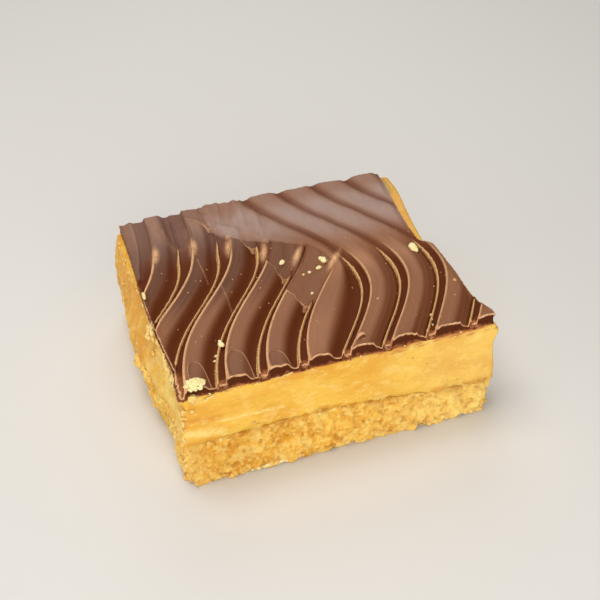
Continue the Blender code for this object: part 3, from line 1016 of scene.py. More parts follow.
    def lobe_spots(self, lobe: int, y: float) -> list[Spot]:
        """Work out one lobe's points on one row.

        Args:
            lobe: The lobe's number, from the left.
            y: Where the row is.

        Returns:
            The points from the lobe's edge to just before the next one's.
        """
        row = self.lobe_row(lobe, y)
        skin_from = self.skins.get(lobe + 1)
        spots = []
        for x in self.lobe_columns(row.left, row.fin, row.right):
            spot = self.combed(row, x)
            self.add_flow(spot, row)
            self.add_front(spot, row)
            self.add_finish(spot, row)
            if skin_from is not None and y > skin_from - self.skin_early:
                wavy = 1.1 * grain(x * 0.45, y * 0.3, 17.0) + 0.3 * grain(x * 1.3, y * 0.9, 4.0)
                self.add_skin(spot, row, y - skin_from + wavy)
            self.add_marks(spot, y)
            spots.append(spot)
        return spots

    def fold(self, x: float, y: float) -> float:
        """Return how high the folds stand where the second stroke began, at the left of the seam."""
        near = smooth(*self.fold_y, y) * smooth(*self.fold_x, x)
        along, across = -self.fold_skew * x - y, x - self.fold_skew * y
        return near * (grain(across * 0.6, along * 0.1, 23.0) + 0.35 * grain(across * 1.5, along * 0.25, 3.0))

    def painted_light_at(self, lobe: int, share: float, y: float) -> float:
        """Return the painted light on a lobe's flat: how much lighter it is painted than its usual brown, or,
        as a negative, how much darker as painted shade.
        """
        streaks = 0.25 * grain(share * 9.0 + lobe * 3.7, y * 0.05)
        streaks += 0.12 * grain(share * 30.0, y * 0.08, lobe)
        if lobe < self.seam_lobe:
            least = self.dim_first - self.dim_less * max(lobe, 0) ** 2
            return streaks - least * smooth(*self.dim_front_y, y) * smooth(*self.dim_back_y, y)
        band = self.lit_band_by_seam if lobe == self.seam_lobe + 1 else self.lit_band
        lit = self.lit + band.at(y) - self.dim_back * smooth(*self.rim_y, y)
        if lobe == self.seam_lobe:
            lit += self.lit_front * smooth(*self.lit_front_y, y) - self.dim_band.at(y)
        return streaks + lit

    def add_skin(self, spot: Spot, row: LobeRow, reach: float) -> None:
        """Raise a point to the skin smeared over a valley, or sink it in the hole before the skin.

        Args:
            spot: The point, which is changed.
            row: Its lobe's row. The skin covers the lobe's width bit by bit.
            reach: How far behind the skin's front tip the point lies.
        """
        to_fin = row.fin - spot.x
        wide = 1.3 + row.wide * smooth(0.0, 9.0, reach)
        across = wide - to_fin
        level = self.flat_z - (self.flat_z - self.valley_z) * (1.0 - self.skin_level)
        inside = smooth(-0.05, 0.3, reach) * smooth(-0.25, 0.15, across)
        if to_fin < 0.0:
            inside *= smooth(0.6, 1.8, reach) * (1.0 if -to_fin < 0.8 * row.gap else 0.0)
        level -= 0.3 * smooth(wide, 0.0, to_fin) * (1.0 - smooth(0.0, 6.0, reach))
        hole = bump(reach + 0.4, 0.4) * bump(to_fin - 0.5, 0.6)
        lip = inside * bump(reach - 0.15, 0.3) * smooth(1.8, 1.0, to_fin)
        spot.z += (max(level, spot.z) - spot.z) * inside + 0.12 * lip - 0.6 * hole
        spot.high += (0.8 - spot.high) * inside - 0.8 * hole
        spot.high = max(spot.high, 0.0)
        spot.lip = max(spot.lip * (1.0 - 0.7 * inside), 0.6 * min(lip, 1.0))
        spot.fin *= 1.0 - inside
        if to_fin > 0.0:
            spot.flap = max(spot.flap, min(across, reach, 0.3))

    def add_marks(self, spot: Spot, y: float) -> None:
        """Add the flaps, creases and scratches that lie on the lobes, and the edges' swollen ends."""
        x = spot.x
        for tongue in self.tongues:
            if y < tongue.top[1] + 1.0 and tongue.left[0] - 1.5 < x < tongue.right[0] + 1.5:
                inside = tongue.offset(x, y)
                spot.z += tongue.strength * (0.10 * bump(inside, 0.35) - 0.16 * smooth(0.0, 0.5, inside))
                spot.flap = max(spot.flap, min(inside, tongue.strength))
        for crease in self.creases:
            height = crease.at(x, y)
            spot.z += height
            # The crest takes the edges' tan and painted highlight.
            spot.lip = max(spot.lip, 0.45 * height)
        for scratch in self.scratches:
            spot.lip = max(spot.lip, scratch.at(x, y))
        # The edges' swollen ends: raised, with a painted highlight on them; beside some, the edge's tan
        # fades.
        for line, aside, middle_y in self.swellings:
            if abs(y - middle_y) < 9.0:
                across = x - self.first_edge(line, y)
                if aside < 0.0 and abs(across) < 0.8:
                    spot.lip *= 1.0 - 0.7 * bump(y - middle_y, 4.5)
                swayed = aside * bump(y - middle_y, self.swelling_sway)
                near = bump(across - swayed, self.swelling_wide) * bump(y - middle_y, self.swelling_long)
                spot.z += self.swelling_height * near
                spot.lip = max(spot.lip, 0.66 * near)

    def row(self, y: float) -> list[Spot]:
        """Work out one row of points right across, ended at the chocolate's outline.

        Args:
            y: Where the row is.

        Returns:
            As many points on every row. Those beyond an end, or hidden under the seam, lie on it.
        """
        first = [spot for lobe in self.first_lobes for spot in self.lobe_spots(lobe, y)]
        second = [spot for lobe in self.second_lobes for spot in self.lobe_spots(lobe, y)]
        limit = second[0].x - 0.03
        first = self.pressed(first, -1e9, limit)
        ragged = 0.12 * grain(y * 1.3, 2.0) + 0.07 * grain(y * 4.0, 7.0)
        left, right = self.left_edge(y) + ragged, self.right_edge(y) + 0.12 * grain(y * 1.1, 5.0)
        line = first + second
        self.add_rolled_edge(line, y, left)
        for spot in line:
            self.wear(spot, y, spot.x - left, right - spot.x)
        return self.pressed(line, left, right)

    def wear(self, spot: Spot, y: float, from_left: float, from_right: float) -> None:
        """Wear a point down at the two side rims, and break the chocolate away at the front left corner."""
        near = max(smooth(self.worn_run, 0.0, from_left), smooth(self.worn_run, 0.0, from_right))
        worn = self.worn * near * smooth(*self.worn_from_front, y + CUTS.depth / 2)
        spot.z += (self.worn_z - spot.z) * worn
        broken = smooth(*self.broken_y, y) * smooth(*self.broken_wide, from_left + 0.6 * grain(y * 1.1, 4.0))
        spot.z -= broken * (0.65 + 0.8 * grain(spot.x * 1.8, y * 1.8, 6.0))
        spot.smear = max(spot.smear, broken * (0.7 + 0.8 * grain(spot.x * 2.5, y * 2.5, 2.0)))
        spot.fin *= 1.0 - worn
        spot.lip *= 1.0 - 0.6 * worn

    def add_rolled_edge(self, line: list[Spot], y: float, left: float) -> None:
        """Roll the chocolate down over its left edge behind, from the first fin outwards."""
        fin = self.lobe_marks(self.first_lobes.start, y)[1]
        amount = smooth(*self.rolled_y, y)
        if amount == 0.0 or fin < left + 0.3:
            return
        for spot in line:
            if spot.x > fin + 0.9:
                break
            out = min(max((fin - spot.x) / (fin - left), 0.0), 1.0)
            share = amount * smooth(fin + 0.9, fin - 0.5, spot.x)
            # The rolled edge also takes some painted sheen.
            rolled = {"z": self.fin_z - self.rolled_drop * out ** 1.6, "high": 0.85 - 0.35 * out,
                      "lip": 0.22 * out, "fin": 0.0, "bloom": 0.5 * (1.0 - 0.5 * out)}
            for name, value in rolled.items():
                here = getattr(spot, name)
                setattr(spot, name, here + (value - here) * share)

    @staticmethod
    def pressed(line: list[Spot], low: float, high: float) -> list[Spot]:
        """Bring the points beyond either end of a line back to that end, at the line's height there."""
        def on_line(x: float) -> Spot:
            for before, after in zip(line, line[1:]):
                if before.x <= x <= after.x:
                    return before.towards(after, (x - before.x) / max(after.x - before.x, 1e-9), x)
            return line[-1].towards(line[-1], 0.0, x) if x > line[-1].x else line[0].towards(line[0], 0.0, x)

        first, last = on_line(low) if low > -1e8 else None, on_line(high)
        return [first if first and spot.x < low else last if spot.x > high else spot for spot in line]

    # Building.

    LAYERS = ("high", "lip", "fin", "bloom", "flap", "cut", "smear", "sheen")

    def surface(self) -> bmesh.types.BMesh:
        """Comb the top surface: a grid whose columns follow the comb's lines."""
        half = CUTS.depth / 2
        lines = [self.row(-half + CUTS.depth * row / self.rows) for row in range(self.rows + 1)]
        last = len(lines[0]) - 1
        bm = bmesh.new()
        layers = {name: bm.verts.layers.float.new(name) for name in self.LAYERS}
        bmesh.ops.create_grid(bm, x_segments=last, y_segments=self.rows, size=0.5)
        for vert in bm.verts:
            number = round((vert.co.y + 0.5) * self.rows)
            y = -half + CUTS.depth * number / self.rows
            spot = lines[number][round((vert.co.x + 0.5) * last)]
            at_end = smooth(half - 3.0, half, abs(y))
            high = self.edge_wave_front if y < 0.0 else self.edge_wave_back
            wave = high * math.sin(self.edge_wave_rate * spot.x)
            wave += 0.10 * grain(spot.x * 1.4, 11.0) + 0.06 * grain(spot.x * 4.5, 3.0)
            vert.co = (spot.x, y + wave * at_end, spot.z + 0.012 * grain(spot.x * 2.5, y * 2.5))
            for name, layer in layers.items():
                vert[layer] = getattr(spot, name, 0.0)
        bmesh.ops.remove_doubles(bm, verts=bm.verts[:], dist=1e-4)
        return bm

    WALL = (  # down the cut: share of the height, and how far out of the knife cut
        (0.04, 0.12), (0.10, 0.16), (0.17, 0.06), (0.26, -0.12), (0.38, -0.22), (0.54, -0.26), (0.70, -0.24),
        (0.82, -0.12), (0.92, 0.06), (1.0, 0.12),
    )

    def foot_z(self, x: float, y: float) -> float:
        """Return the height of the chocolate's lower edge at a place of the outline."""
        level = CUTS.caramel_top + 0.12 + 0.22 * grain(x * 0.35, y * 0.35, 2.0)
        return level + 0.12 * grain(x * 1.3, y * 1.3, 5.0)

    def build(self) -> bpy.types.Object:
        """Build the chocolate: its combed top, the walls that the knife left, and its underside."""
        bm = self.surface()
        names = ("high", "lip", "fin", "flap", "cut", "smear")
        high, lip, fin, flap, cut, smear = (bm.verts.layers.float[name] for name in names)
        rim = [edge for edge in bm.edges if edge.is_boundary]
        out: dict[tuple, Vector] = {}
        for edge in rim:
            a, b = edge.verts
            across = Vector((b.co.y - a.co.y, a.co.x - b.co.x, 0.0))
            inside = edge.link_faces[0].calc_center_median() - a.co
            if across.dot(inside) > 0.0:
                across.negate()
            for vert in edge.verts:
                out[vert.co.to_tuple(6)] = out.get(vert.co.to_tuple(6), Vector()) + across
        tops = {key: (Vector(key), way.normalized()) for key, way in out.items()}
        for edge in rim:
            for vert in edge.verts:
                x, y, _ = vert.co
                # The rim's tan line: scraped chocolate with a painted highlight.
                sharp = 1.0 - 0.8 * smooth(-6.0, 8.0, y)
                vert[lip] = max(vert[lip], sharp * (0.38 + 0.45 * grain(x * 1.5, y * 1.5, 8.0)))
        burrs = {vert.co.to_tuple(6): vert for edge in rim for vert in edge.verts}
        for key, vert in burrs.items():
            x, y, z = key
            rise = 0.20 * smooth(24.6, 25.3, z)
            rise *= 0.7 + grain(x * 1.2, y * 1.2, 1.0) + 0.5 * grain(x * 4.0, y * 4.0)
            rise *= 1.0 if y < 4.0 - CUTS.depth / 2 else 0.3
            rise = min(rise, self.highest - z)
            tops[key] = (Vector((x, y, z + rise)), tops[key][1])
            vert.co = tops[key][0]
        posts = {vert.co.to_tuple(6): vert[smear] for edge in rim for vert in edge.verts}
        renamed = {place.to_tuple(6): (place, way, posts[place.to_tuple(6)]) for place, way in tops.values()}
        for share, offset in self.WALL:
            made = bmesh.ops.extrude_edge_only(bm, edges=rim)["geom"]
            rim = [item for item in made if isinstance(item, bmesh.types.BMEdge)]
            following = {}
            for vert in (item for item in made if isinstance(item, bmesh.types.BMVert)):
                top, way, post = renamed[vert.co.to_tuple(6)]
                x, y, z = top
                foot = self.foot_z(x, y)
                tall = smooth(1.0, 2.2, z - foot)
                reach = offset * (tall if offset < 0.0 else 1.0)
                reach += 0.05 * grain(x * 2.0, y * 2.0, share * 3.0) + (1.0 - tall) * 0.06
                if offset > 0.0 and share < 0.5:
                    reach += 0.08 * grain(x * 1.7, y * 1.7, 3.0) + 0.05 * grain(x * 5.0, y * 5.0, 6.0)
                reach += post * (0.22 + 0.30 * grain(x * 3.0, y * 3.0, share * 6.0))
                if x < 1.0 - CUTS.width / 2:
                    reach += 0.5 * share * smooth(-20.0, -27.0, y)
                vert.co = Vector((x, y, z + (foot - z) * share)) + way * reach
                # Painted shade on the cut wall, more on its taller parts.
                vert[cut] = smooth(0.08, 0.25, share) * (0.5 + 0.5 * tall)
                ragged = grain(x * 1.0, y * 1.0, share * 4.0) + 0.4 * grain(x * 3.0, y * 3.0, share * 4.0)
                rim_wide = 0.07 + 0.10 * grain(x * 0.7, y * 0.7, 6.0)
                vert[smear] = max(smooth(0.80, 0.98, share + 0.16 * ragged), post * (0.6 + 0.8 * ragged))
                # The wall's top rim is tan too: scraped chocolate with a painted highlight.
                vert[lip] = (1.0 - 0.8 * smooth(-6.0, 8.0, y)) * (0.68 + 0.45 * grain(x * 2.0, y * 2.0, 8.0))
                vert[lip] *= smooth(rim_wide + 0.10, rim_wide, share)
                vert[lip] = max(vert[lip], post * (0.15 + 0.6 * ragged) * smooth(1.1, 0.6, share))
                vert[flap] = -1.0
                vert[high] *= 0.9
                vert[fin] = vert[fin] * smooth(0.4, 0.0, share)
                following[vert.co.to_tuple(6)] = (top, way, post)
            renamed = following
        close_ends(bm)
        return finished("combed_chocolate", bm, self.finish.material(), Slot.CHOCOLATE, "chocolate_top")


# The caramel and the biscuit.


@dataclass
class SetCaramel:
    """The thick caramel layer, dragged and folded where the knife went through."""

    around: int = 760
    wall_rings: int = 50
    corner: float = 0.9
    sag: float = 0.45
    sag_rate: float = 0.09
    rounding: float = 0.7
    top_insets: tuple[float, ...] = (0.35, 0.8, 1.3, 1.9, 2.6, 3.4, 4.4, 5.6, 7.0)
    streaks: tuple[Crease, ...] = (
        Crease(((-27.0, 15.1), (-20.0, 14.9), (-13.0, 14.4)), 0.32, 0.38),
        Crease(((-5.5, 17.6), (-3.5, 17.1), (-1.5, 16.4)), 0.22, 0.28),
        Crease(((-33.0, 13.4), (-29.0, 12.6), (-26.0, 12.4)), 0.35, 0.9),
        Crease(((3.0, 14.0), (10.0, 13.2)), 0.10, 0.5),
    )
    bands: tuple[Crease, ...] = (Crease(((-33.0, 16.8), (-26.0, 16.4)), 0.5, 0.6),)
    finish: CaramelFinish = CaramelFinish()

    def relief(self, x: float, y: float, z: float, side: Side) -> float:
        """Return how far the knife pushed or pulled the caramel at a place of the wall."""
        if side is Side.FRONT:
            fine = 0.16 * grain(x * 0.12, 3.0, z * 0.5) + 0.10 * grain(x * 0.4, 1.0, z * 1.3)
            fine += 0.07 * grain(x * 1.1, 8.0, z * 1.5) + 0.04 * grain(x * 2.6, 5.0, z * 3.1)
            fine += 0.5 * self.torn_corner(-CUTS.depth / 2, z) * smooth(-31.5, -33.0, x)
            flecks = 0.12 * self.flecked(x, z)
            torn = 0.8 + 0.8 * grain(x * 0.9, 2.0, z * 2.0)
            return fine + flecks + torn * sum(streak.at(x, z) for streak in self.streaks)
        if side is Side.LEFT:
            folds = 0.50 * grain(y * 0.38, 6.0, z * 0.14) + 0.32 * grain(y * 0.9, 2.0, z * 0.35)
            ragged = 0.40 * max(grain(y * 1.0, 9.0, z * 1.1), 0.0) + 0.16 * grain(y * 2.4, 4.0, z * 2.4)
            ledge = 0.75 * smooth(20.9, 21.8, z) * smooth(-3.0, -9.0, y)
            return folds + ragged + ledge * (0.8 + grain(y * 0.6, 3.0)) + 0.5 * self.torn_corner(y, z)
        folds = 0.15 * grain(x * 0.15 + y * 0.15, 4.0, z * 0.5) + 0.10 * grain(x * 0.9, y * 0.9, z * 0.9)
        return folds + 0.05 * grain(x * 2.2, y * 2.2, z * 2.2)

    def build(self) -> bpy.types.Object:
        """Build the caramel with a fine wall, a rounded upper edge and a closed top and bottom."""
        rings = 1 + self.wall_rings + len(self.top_insets)

        def place(share: float, ring: int) -> Vector:
            x, y, out, side = CUTS.perimeter(share, self.corner)
            up = min(max(ring - 1, 0) / self.wall_rings, 1.0)
            inset = self.top_insets[ring - self.wall_rings - 2] if ring > self.wall_rings + 1 else 0.0
            foot = CUTS.biscuit_top(x) - 0.35 + CUTS.torn_line(x, y)
            top = CUTS.caramel_top + 0.15 * grain(x * 0.3, y * 0.3, 1.0)
            z = foot + (top - foot) * up
            point = CUTS.spread(x, y, z) + CUTS.outward(x, y) * self.sag * self.sag_noise(x, y, z)
            below = max(z - (top - self.rounding), 0.0) / self.rounding
            rolled = self.rounding * (1.0 - math.sqrt(max(1.0 - below * below, 0.0)))
            reach = self.relief(x, y, z, side) * smooth(1.0, 0.9, up) if ring <= self.wall_rings else 0.0
            reach -= 0.07 * grain(x * 0.8, y * 0.8, 6.0) * smooth(0.10, 0.0, up)
            inward = inset + rolled + (1.0 if ring == 0 else 0.0)
            point += out * (reach - inward)
            point.z += 0.08 * grain(point.x * 0.9, point.y * 0.9, 3.0) * (1.0 if inset else 0.0)
            return point

        bm = wrapped(self.around, rings, place)
        pale, dark, stain = (bm.verts.layers.float.new(name) for name in ("pale", "dark", "stain"))
        for vert in bm.verts:
            x, y, z = vert.co
            if y < -CUTS.depth / 2 + 1.6:
                low = 22.5 - 1.3 * smooth(2.0, 12.0, x) + 0.9 * grain(x * 0.45, 7.0) + 0.4 * grain(x * 1.4, z)
                streaky = smooth(-0.35, 0.25, grain(x * 0.35, 5.0, z * 2.2))
                vert[stain] = 0.85 * streaky * smooth(low, low + 0.9, z)
                # Pale along the raised drag streaks: dragged caramel with a painted highlight.
                torn = 0.6 + 1.2 * grain(x * 1.2, 2.0, z * 3.0)
                vert[pale] = min(max(2.6 * torn * sum(streak.at(x, z) for streak in self.streaks), 0.0), 1.0)
                vert[pale] = max(vert[pale], 0.6 * self.flecked(x, z), 0.22 * smooth(2.0, 24.0, x))
                vert[dark] = min(sum(band.at(x, z) for band in self.bands), 1.0)
            elif x < -CUTS.width / 2 + 1.0:
                shade = 0.22 * smooth(0.0, -12.0, y) + 0.6 * grain(y * 0.5, 6.0, z * 0.25)
                shade += 0.4 * grain(y * 1.3, 3.0, z)
                shade += 0.55 * smooth(20.5, 21.8, z) * smooth(0.0, -9.0, y) + 0.4 * smooth(-26.0, -30.0, y)
                vert[pale] = min(max(shade, 0.0), 0.9)
                vert[dark] = 0.45 * smooth(-16.0, 0.0, y) * (0.8 + grain(y * 0.35, 9.0, z * 0.2))
            elif x > 18.0:
                behind = smooth(-2.0, 14.0, y) * smooth(18.0, 30.0, x)
                vert[pale] = max(0.18 * behind * smooth(10.0, 20.0, z), 0.22 * smooth(-14.0, -28.0, y))
                vert[dark] = 0.45 * behind
            gap = z - CUTS.biscuit_top(x) - CUTS.torn_line(x, y)
            patchy = smooth(-0.15, 0.3, grain(x * 0.22, y * 0.22, 9.0))
            vert[dark] = max(vert[dark], 0.6 * patchy * smooth(1.3, 0.1, gap))
        return finished("set_caramel", bm, self.finish.material(), Slot.CARAMEL, "caramel")

    def flecked(self, x: float, z: float) -> float:
        """Return how far a place of the front lies in a pale, dragged fleck, from 0 to 1."""
        crowded = smooth(0.0, 0.35, grain(x * 0.16, 3.0, z * 0.3))
        return crowded * smooth(0.38, 0.55, grain(x * 0.8, 15.0, z * 1.9))

    def torn_corner(self, y: float, z: float) -> float:
        """Return how far the torn front left corner stands out."""
        near = smooth(3.0, 0.5, y + CUTS.depth / 2)
        return near * (grain(y * 0.9, 6.0, z * 0.9) + 0.6 * grain(y * 2.2, 1.0, z * 2.2))

    def sag_noise(self, x: float, y: float, z: float) -> float:
        """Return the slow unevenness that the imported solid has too."""
        return noise.noise(CUTS.spread(x, y, z) * self.sag_rate)


@dataclass
class BiscuitBase:
    """The crumbly base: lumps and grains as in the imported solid, with every crumb and pit on them."""

    around: int = 960
    wall_rings: int = 40
    corner: float = 0.8
    under_insets: tuple[float, ...] = (26.0, 20.0, 15.0, 11.0, 8.0, 6.0, 4.6, 3.5, 2.7, 2.1, 1.6, 1.2, 0.85,
                                       0.55, 0.28)
    top_insets: tuple[float, ...] = (0.3, 0.7, 1.2, 2.0)
    crumbled: float = 0.25
    lumps: float = 0.75
    lump_rate: float = 0.26
    grains: float = 0.7
    grain_rate: float = 0.7
    ragged_foot: Swell = Swell(1.0, 0.0, 1.0)
    ragged: tuple[float, float, float] = (0.4, 0.8, 0.4)
    worn_corner: float = 1.1
    corner_share: float = 0.93
    notches: tuple[Swell, ...] = (Swell(1.0, 17.0, 1.1), Swell(0.8, -3.0, 0.9), Swell(0.7, 27.0, 0.8))
    finish: BiscuitFinish = BiscuitFinish()

    def crumb(self, point: Vector) -> tuple[float, float, float]:
        """Work out the crumb at a place.

        Args:
            point: The place on the biscuit's plain face.

        Returns:
            How far the crumb stands out, how pale it is, and how deep in a pit the place lies.
        """
        rough = noise.fractal(point * 0.8, 0.5, 2.2, 5)
        crest = 0.25 - abs(noise.noise(point * 1.5 + Vector((0.0, 0.0, 9.0))))
        crest += 0.5 * (0.25 - abs(noise.noise(point * 3.4 + Vector((0.0, 5.0, 0.0)))))
        hollow = smooth(0.24, 0.55, noise.noise(point * 0.8 + Vector((31.0, 0.0, 0.0))))
        reach = 0.18 * rough + 0.45 * crest - 0.25 * hollow
        pale = 0.9 * smooth(0.10, 0.5, noise.noise(point * 1.2 + Vector((0.0, 17.0, 0.0))))
        # The last share darkens the hollows: painted shade.
        return reach, pale, max(0.5 * hollow, 0.5 * smooth(0.3, 0.9, -rough))

    def build(self) -> bpy.types.Object:
        """Build the biscuit with a crumb relief all round and underneath."""
        under = len(self.under_insets)
        rings = under + self.wall_rings + len(self.top_insets)
        looks: dict[tuple, tuple[float, float]] = {}

        def place(share: float, ring: int) -> Vector:
            x, y, out, side = CUTS.perimeter(share, self.corner)
            up = min(max(ring - under, 0) / self.wall_rings, 1.0)
            inset = 0.0
            if ring < under:
                inset = self.under_insets[ring]
            elif ring > under + self.wall_rings:
                inset = self.top_insets[ring - under - self.wall_rings - 1]
            z = (CUTS.biscuit_top(x) - 0.12) * up
            point = self.solid_place(x, y, z)
            point.z += CUTS.torn_line(x, y) * smooth(0.7, 1.0, up)
            x_share, y_share = 1.0 - inset / (CUTS.width / 2), 1.0 - inset / (CUTS.depth / 2)
            point = Vector((point.x * x_share, point.y * y_share, point.z))
            reach, pale, pit = self.crumb(point)
            on_wall = smooth(2.2, 0.0, inset)
            aside, along = (0.12 * on_wall * noise.noise(point * 1.3 + Vector((far, 0.0, 0.0)))
                            for far in (41.0, 67.0))
            point += out * (reach * on_wall + aside)
            point.z += along if 0.04 < up < 0.96 else 0.0
            if ring <= under:
                point.z += 0.35 * max(-reach, 0.0) * smooth(0.0, 1.5, inset + 0.3)
            if side is Side.FRONT:
                lift = sum(notch.at(x) for notch in self.notches)
                point.z += lift * smooth(1.6, 0.0, z) * smooth(4.0, 0.0, inset)
            point.z = max(point.z, 0.0)
            looks[point.to_tuple(5)] = (pale, pit * on_wall)
            return point

        bm = wrapped(self.around, rings, place)
        pale, pit = (bm.verts.layers.float.new(name) for name in ("pale", "pit"))
        for vert in bm.verts:
            vert[pale], vert[pit] = looks.get(vert.co.to_tuple(5), (0.2, 0.0))
            gap = CUTS.biscuit_top(vert.co.x) + CUTS.torn_line(vert.co.x, vert.co.y) - vert.co.z
            seam = smooth(1.9, 0.2, gap) * smooth(-0.10, 0.25, grain(vert.co.x * 0.3, vert.co.y * 0.3, 1.0))
            seam *= smooth(-CUTS.width / 2 - 0.2, 1.5 - CUTS.width / 2, vert.co.x)
            vert[pit] = max(vert[pit], 0.55 * seam)
            vert[pale] *= 1.0 - seam
            across = vert.co.x / CUTS.width
            on_front = smooth(3.5 - CUTS.depth / 2, 1.5 - CUTS.depth / 2, vert.co.y)
            vert[pale] = max(vert[pale], (0.25 + 0.47 * on_front) * smooth(-0.05, 0.4, across))
            if vert.co.x < 2.0 - CUTS.width / 2:
                vert[pale] = max(vert[pale], 0.6 * smooth(-12.0, -24.0, vert.co.y))
            vert[pit] = min(vert[pit] + 0.16 * on_front * smooth(0.0, -0.4, across), 1.0)
            patchy = smooth(0.0, 0.4, grain(*(vert.co * 1.1)))
            vert[pale] = max(vert[pale], 0.7 * smooth(1.4, 0.2, vert.co.z) * patchy)
        return finished("biscuit_crumb", bm, self.finish.material(), Slot.BISCUIT, "biscuit_base")

    def solid_place(self, x: float, y: float, z: float) -> Vector:
        """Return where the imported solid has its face: crumbled, ragged at the foot, worn at the corners."""
        point = CUTS.spread(x, y, z)
        lumps = self.lumps * noise.noise(point * self.lump_rate)
        grains = self.grains * noise.noise(point * self.grain_rate)
        deep, vary, rate = self.ragged
        ragged = self.ragged_foot.at(z) * (deep + vary * noise.noise(point * rate))
        share_x, share_y = abs(2.0 * x / CUTS.width), abs(2.0 * y / CUTS.depth)
        at_end = smooth(self.corner_share, 1.0, share_x) * smooth(self.corner_share, 1.0, share_y)
        reach = self.crumbled + lumps + grains - ragged - self.worn_corner * at_end
        return point + CUTS.outward(x, y) * reach


# Loose bits.


@dataclass(frozen=True)
class Bit:
    """A loose bit: where it lies, and its half sizes along x, y and z."""

    x: float
    y: float
    z: float
    half: tuple[float, float, float]


@dataclass
class LooseBits:
    """Bits of one kind, each a rough lump that rests on what carries it."""

    name: str
    slot: Slot
    look: bpy.types.Material
    roughness: float = 0.35
    fineness: int = 2

    def build(self, bits: Iterable[Bit],
              extra: Callable[[bmesh.types.BMesh], None] | None = None) -> bpy.types.Object:
        """Build all the bits as one piece.

        Args:
            bits: The bits to make.
            extra: Adds one more shape to the mesh, if any.

        Returns:
            The piece.
        """
        bm = bmesh.new()
        pale = bm.verts.layers.float.new("pale")
        ball = bmesh.new()
        bmesh.ops.create_icosphere(ball, subdivisions=self.fineness, radius=1.0)
        mesh = bpy.data.meshes.new("ball")
        ball.to_mesh(mesh)
        ball.free()
        ways = [vert.co.copy() for vert in mesh.vertices]
        for bit in bits:
            bm.from_mesh(mesh)
            middle = Vector((bit.x, bit.y, bit.z))
            bm.verts.ensure_lookup_table()
            for vert, way in zip(bm.verts[-len(ways):], ways):
                rough = 1.0 + self.roughness * noise.noise(way * 1.4 + middle * 3.1)
                rough += 0.5 * self.roughness * noise.noise(way * 3.3 + middle * 5.3)
                vert.co = Vector([part * half for part, half in zip(way, bit.half)]) * rough + middle
                vert[pale] = 0.75 + 0.25 * noise.noise(vert.co * (1.5 / max(bit.half)))
        bpy.data.meshes.remove(mesh)
        if extra:
            extra(bm)
        return finished(self.name, bm, self.look, self.slot)


@dataclass
class Crumbs:
    """Biscuit crumbs that fell on the chocolate, and fragments that lie at the front's foot."""

    chocolate: CombedChocolate
    seed: int = 7
    grains_each: int = 7
    corner: tuple[float, float] = (-29.8, -29.2)
    clump: tuple[float, float] = (-30.3, -29.8)
    clump_half: tuple[float, float] = (2.1, 1.6)
    clump_high: float = 0.85
    in_clump: int = 150
    at_foot: int = 26
    foot_x: float = -15.5
    foot_spread: float = 2.8
    finish: BiscuitFinish = BiscuitFinish(gold=linear(248, 228, 150), orange=linear(238, 206, 116),
                                          pale=linear(255, 244, 190), pit=linear(228, 186, 100), glow=0.05)

    BIG: tuple[tuple[float, float, float, float], ...] = (  # x, y, half width, half depth
        (-22.4, -19.7, 0.60, 1.00), (-23.9, -22.0, 0.42, 0.42), (-24.6, -23.4, 0.32, 0.30),
        (-33.3, 1.0, 0.42, 1.50), (-2.3, 2.0, 0.66, 0.66), (6.7, 0.0, 0.80, 1.25), (4.6, -2.5, 0.62, 0.55),
        (2.3, -3.5, 0.38, 0.38), (0.7, -4.0, 0.30, 0.30), (27.4, -2.5, 1.05, 1.60), (21.4, -25.0, 0.35, 0.35),
        (20.6, -27.0, 0.20, 0.25), (20.2, -28.3, 0.18, 0.30), (0.4, -10.5, 0.32, 0.32),
    )

    def top_at(self, x: float, y: float) -> float:
        """Return the chocolate's height at a place."""
        line = self.chocolate.row(y)
        return min(line, key=lambda spot: abs(spot.x - x)).z

    def build(self) -> bpy.types.Object:
        """Place the crumbs that show, the clump at the front left corner, and the fragments at the foot."""
        draw = random.Random(self.seed)
        bits = []
        for x, y, wide, deep in self.BIG:
            z = self.top_at(x, y)
            for _ in range(self.grains_each):
                dx, dy = draw.uniform(-0.5, 0.5) * wide, draw.uniform(-0.5, 0.5) * deep
                size = draw.uniform(0.45, 0.8)
                bits.append(Bit(x + dx, y + dy, z + 0.30 * min(wide, deep) + draw.uniform(-0.1, 0.1),
                                (wide * size, deep * size, 0.6 * min(wide, deep) * size + 0.08)))
        corner = self.top_at(*self.corner)
        for _ in range(self.in_clump):
            turn, far = draw.uniform(0.0, math.tau), math.sqrt(draw.uniform(0.0, 1.0))
            x = self.clump[0] + self.clump_half[0] * far * math.cos(turn)
            y = self.clump[1] + self.clump_half[1] * far * math.sin(turn)
            z = corner + self.clump_high * (1.0 - far * far) - 0.1 * draw.random()
            size = draw.uniform(0.2, 0.45)
            bits.append(Bit(x, y, z, (size, size * draw.uniform(0.7, 1.0), size * draw.uniform(0.6, 0.9))))
        for _ in range(self.at_foot):
            x, z = draw.gauss(self.foot_x, self.foot_spread), draw.uniform(0.35, 1.1)
            size = draw.uniform(0.2, 0.5)
            y = CUTS.spread(x, -CUTS.depth / 2, z).y - 0.15
            bits.append(Bit(x, y, max(z, size), (size * draw.uniform(0.8, 1.6), 0.3, size * 0.7)))
        return LooseBits("crumbs", Slot.BISCUIT, self.finish.material("crumb")).build(bits)


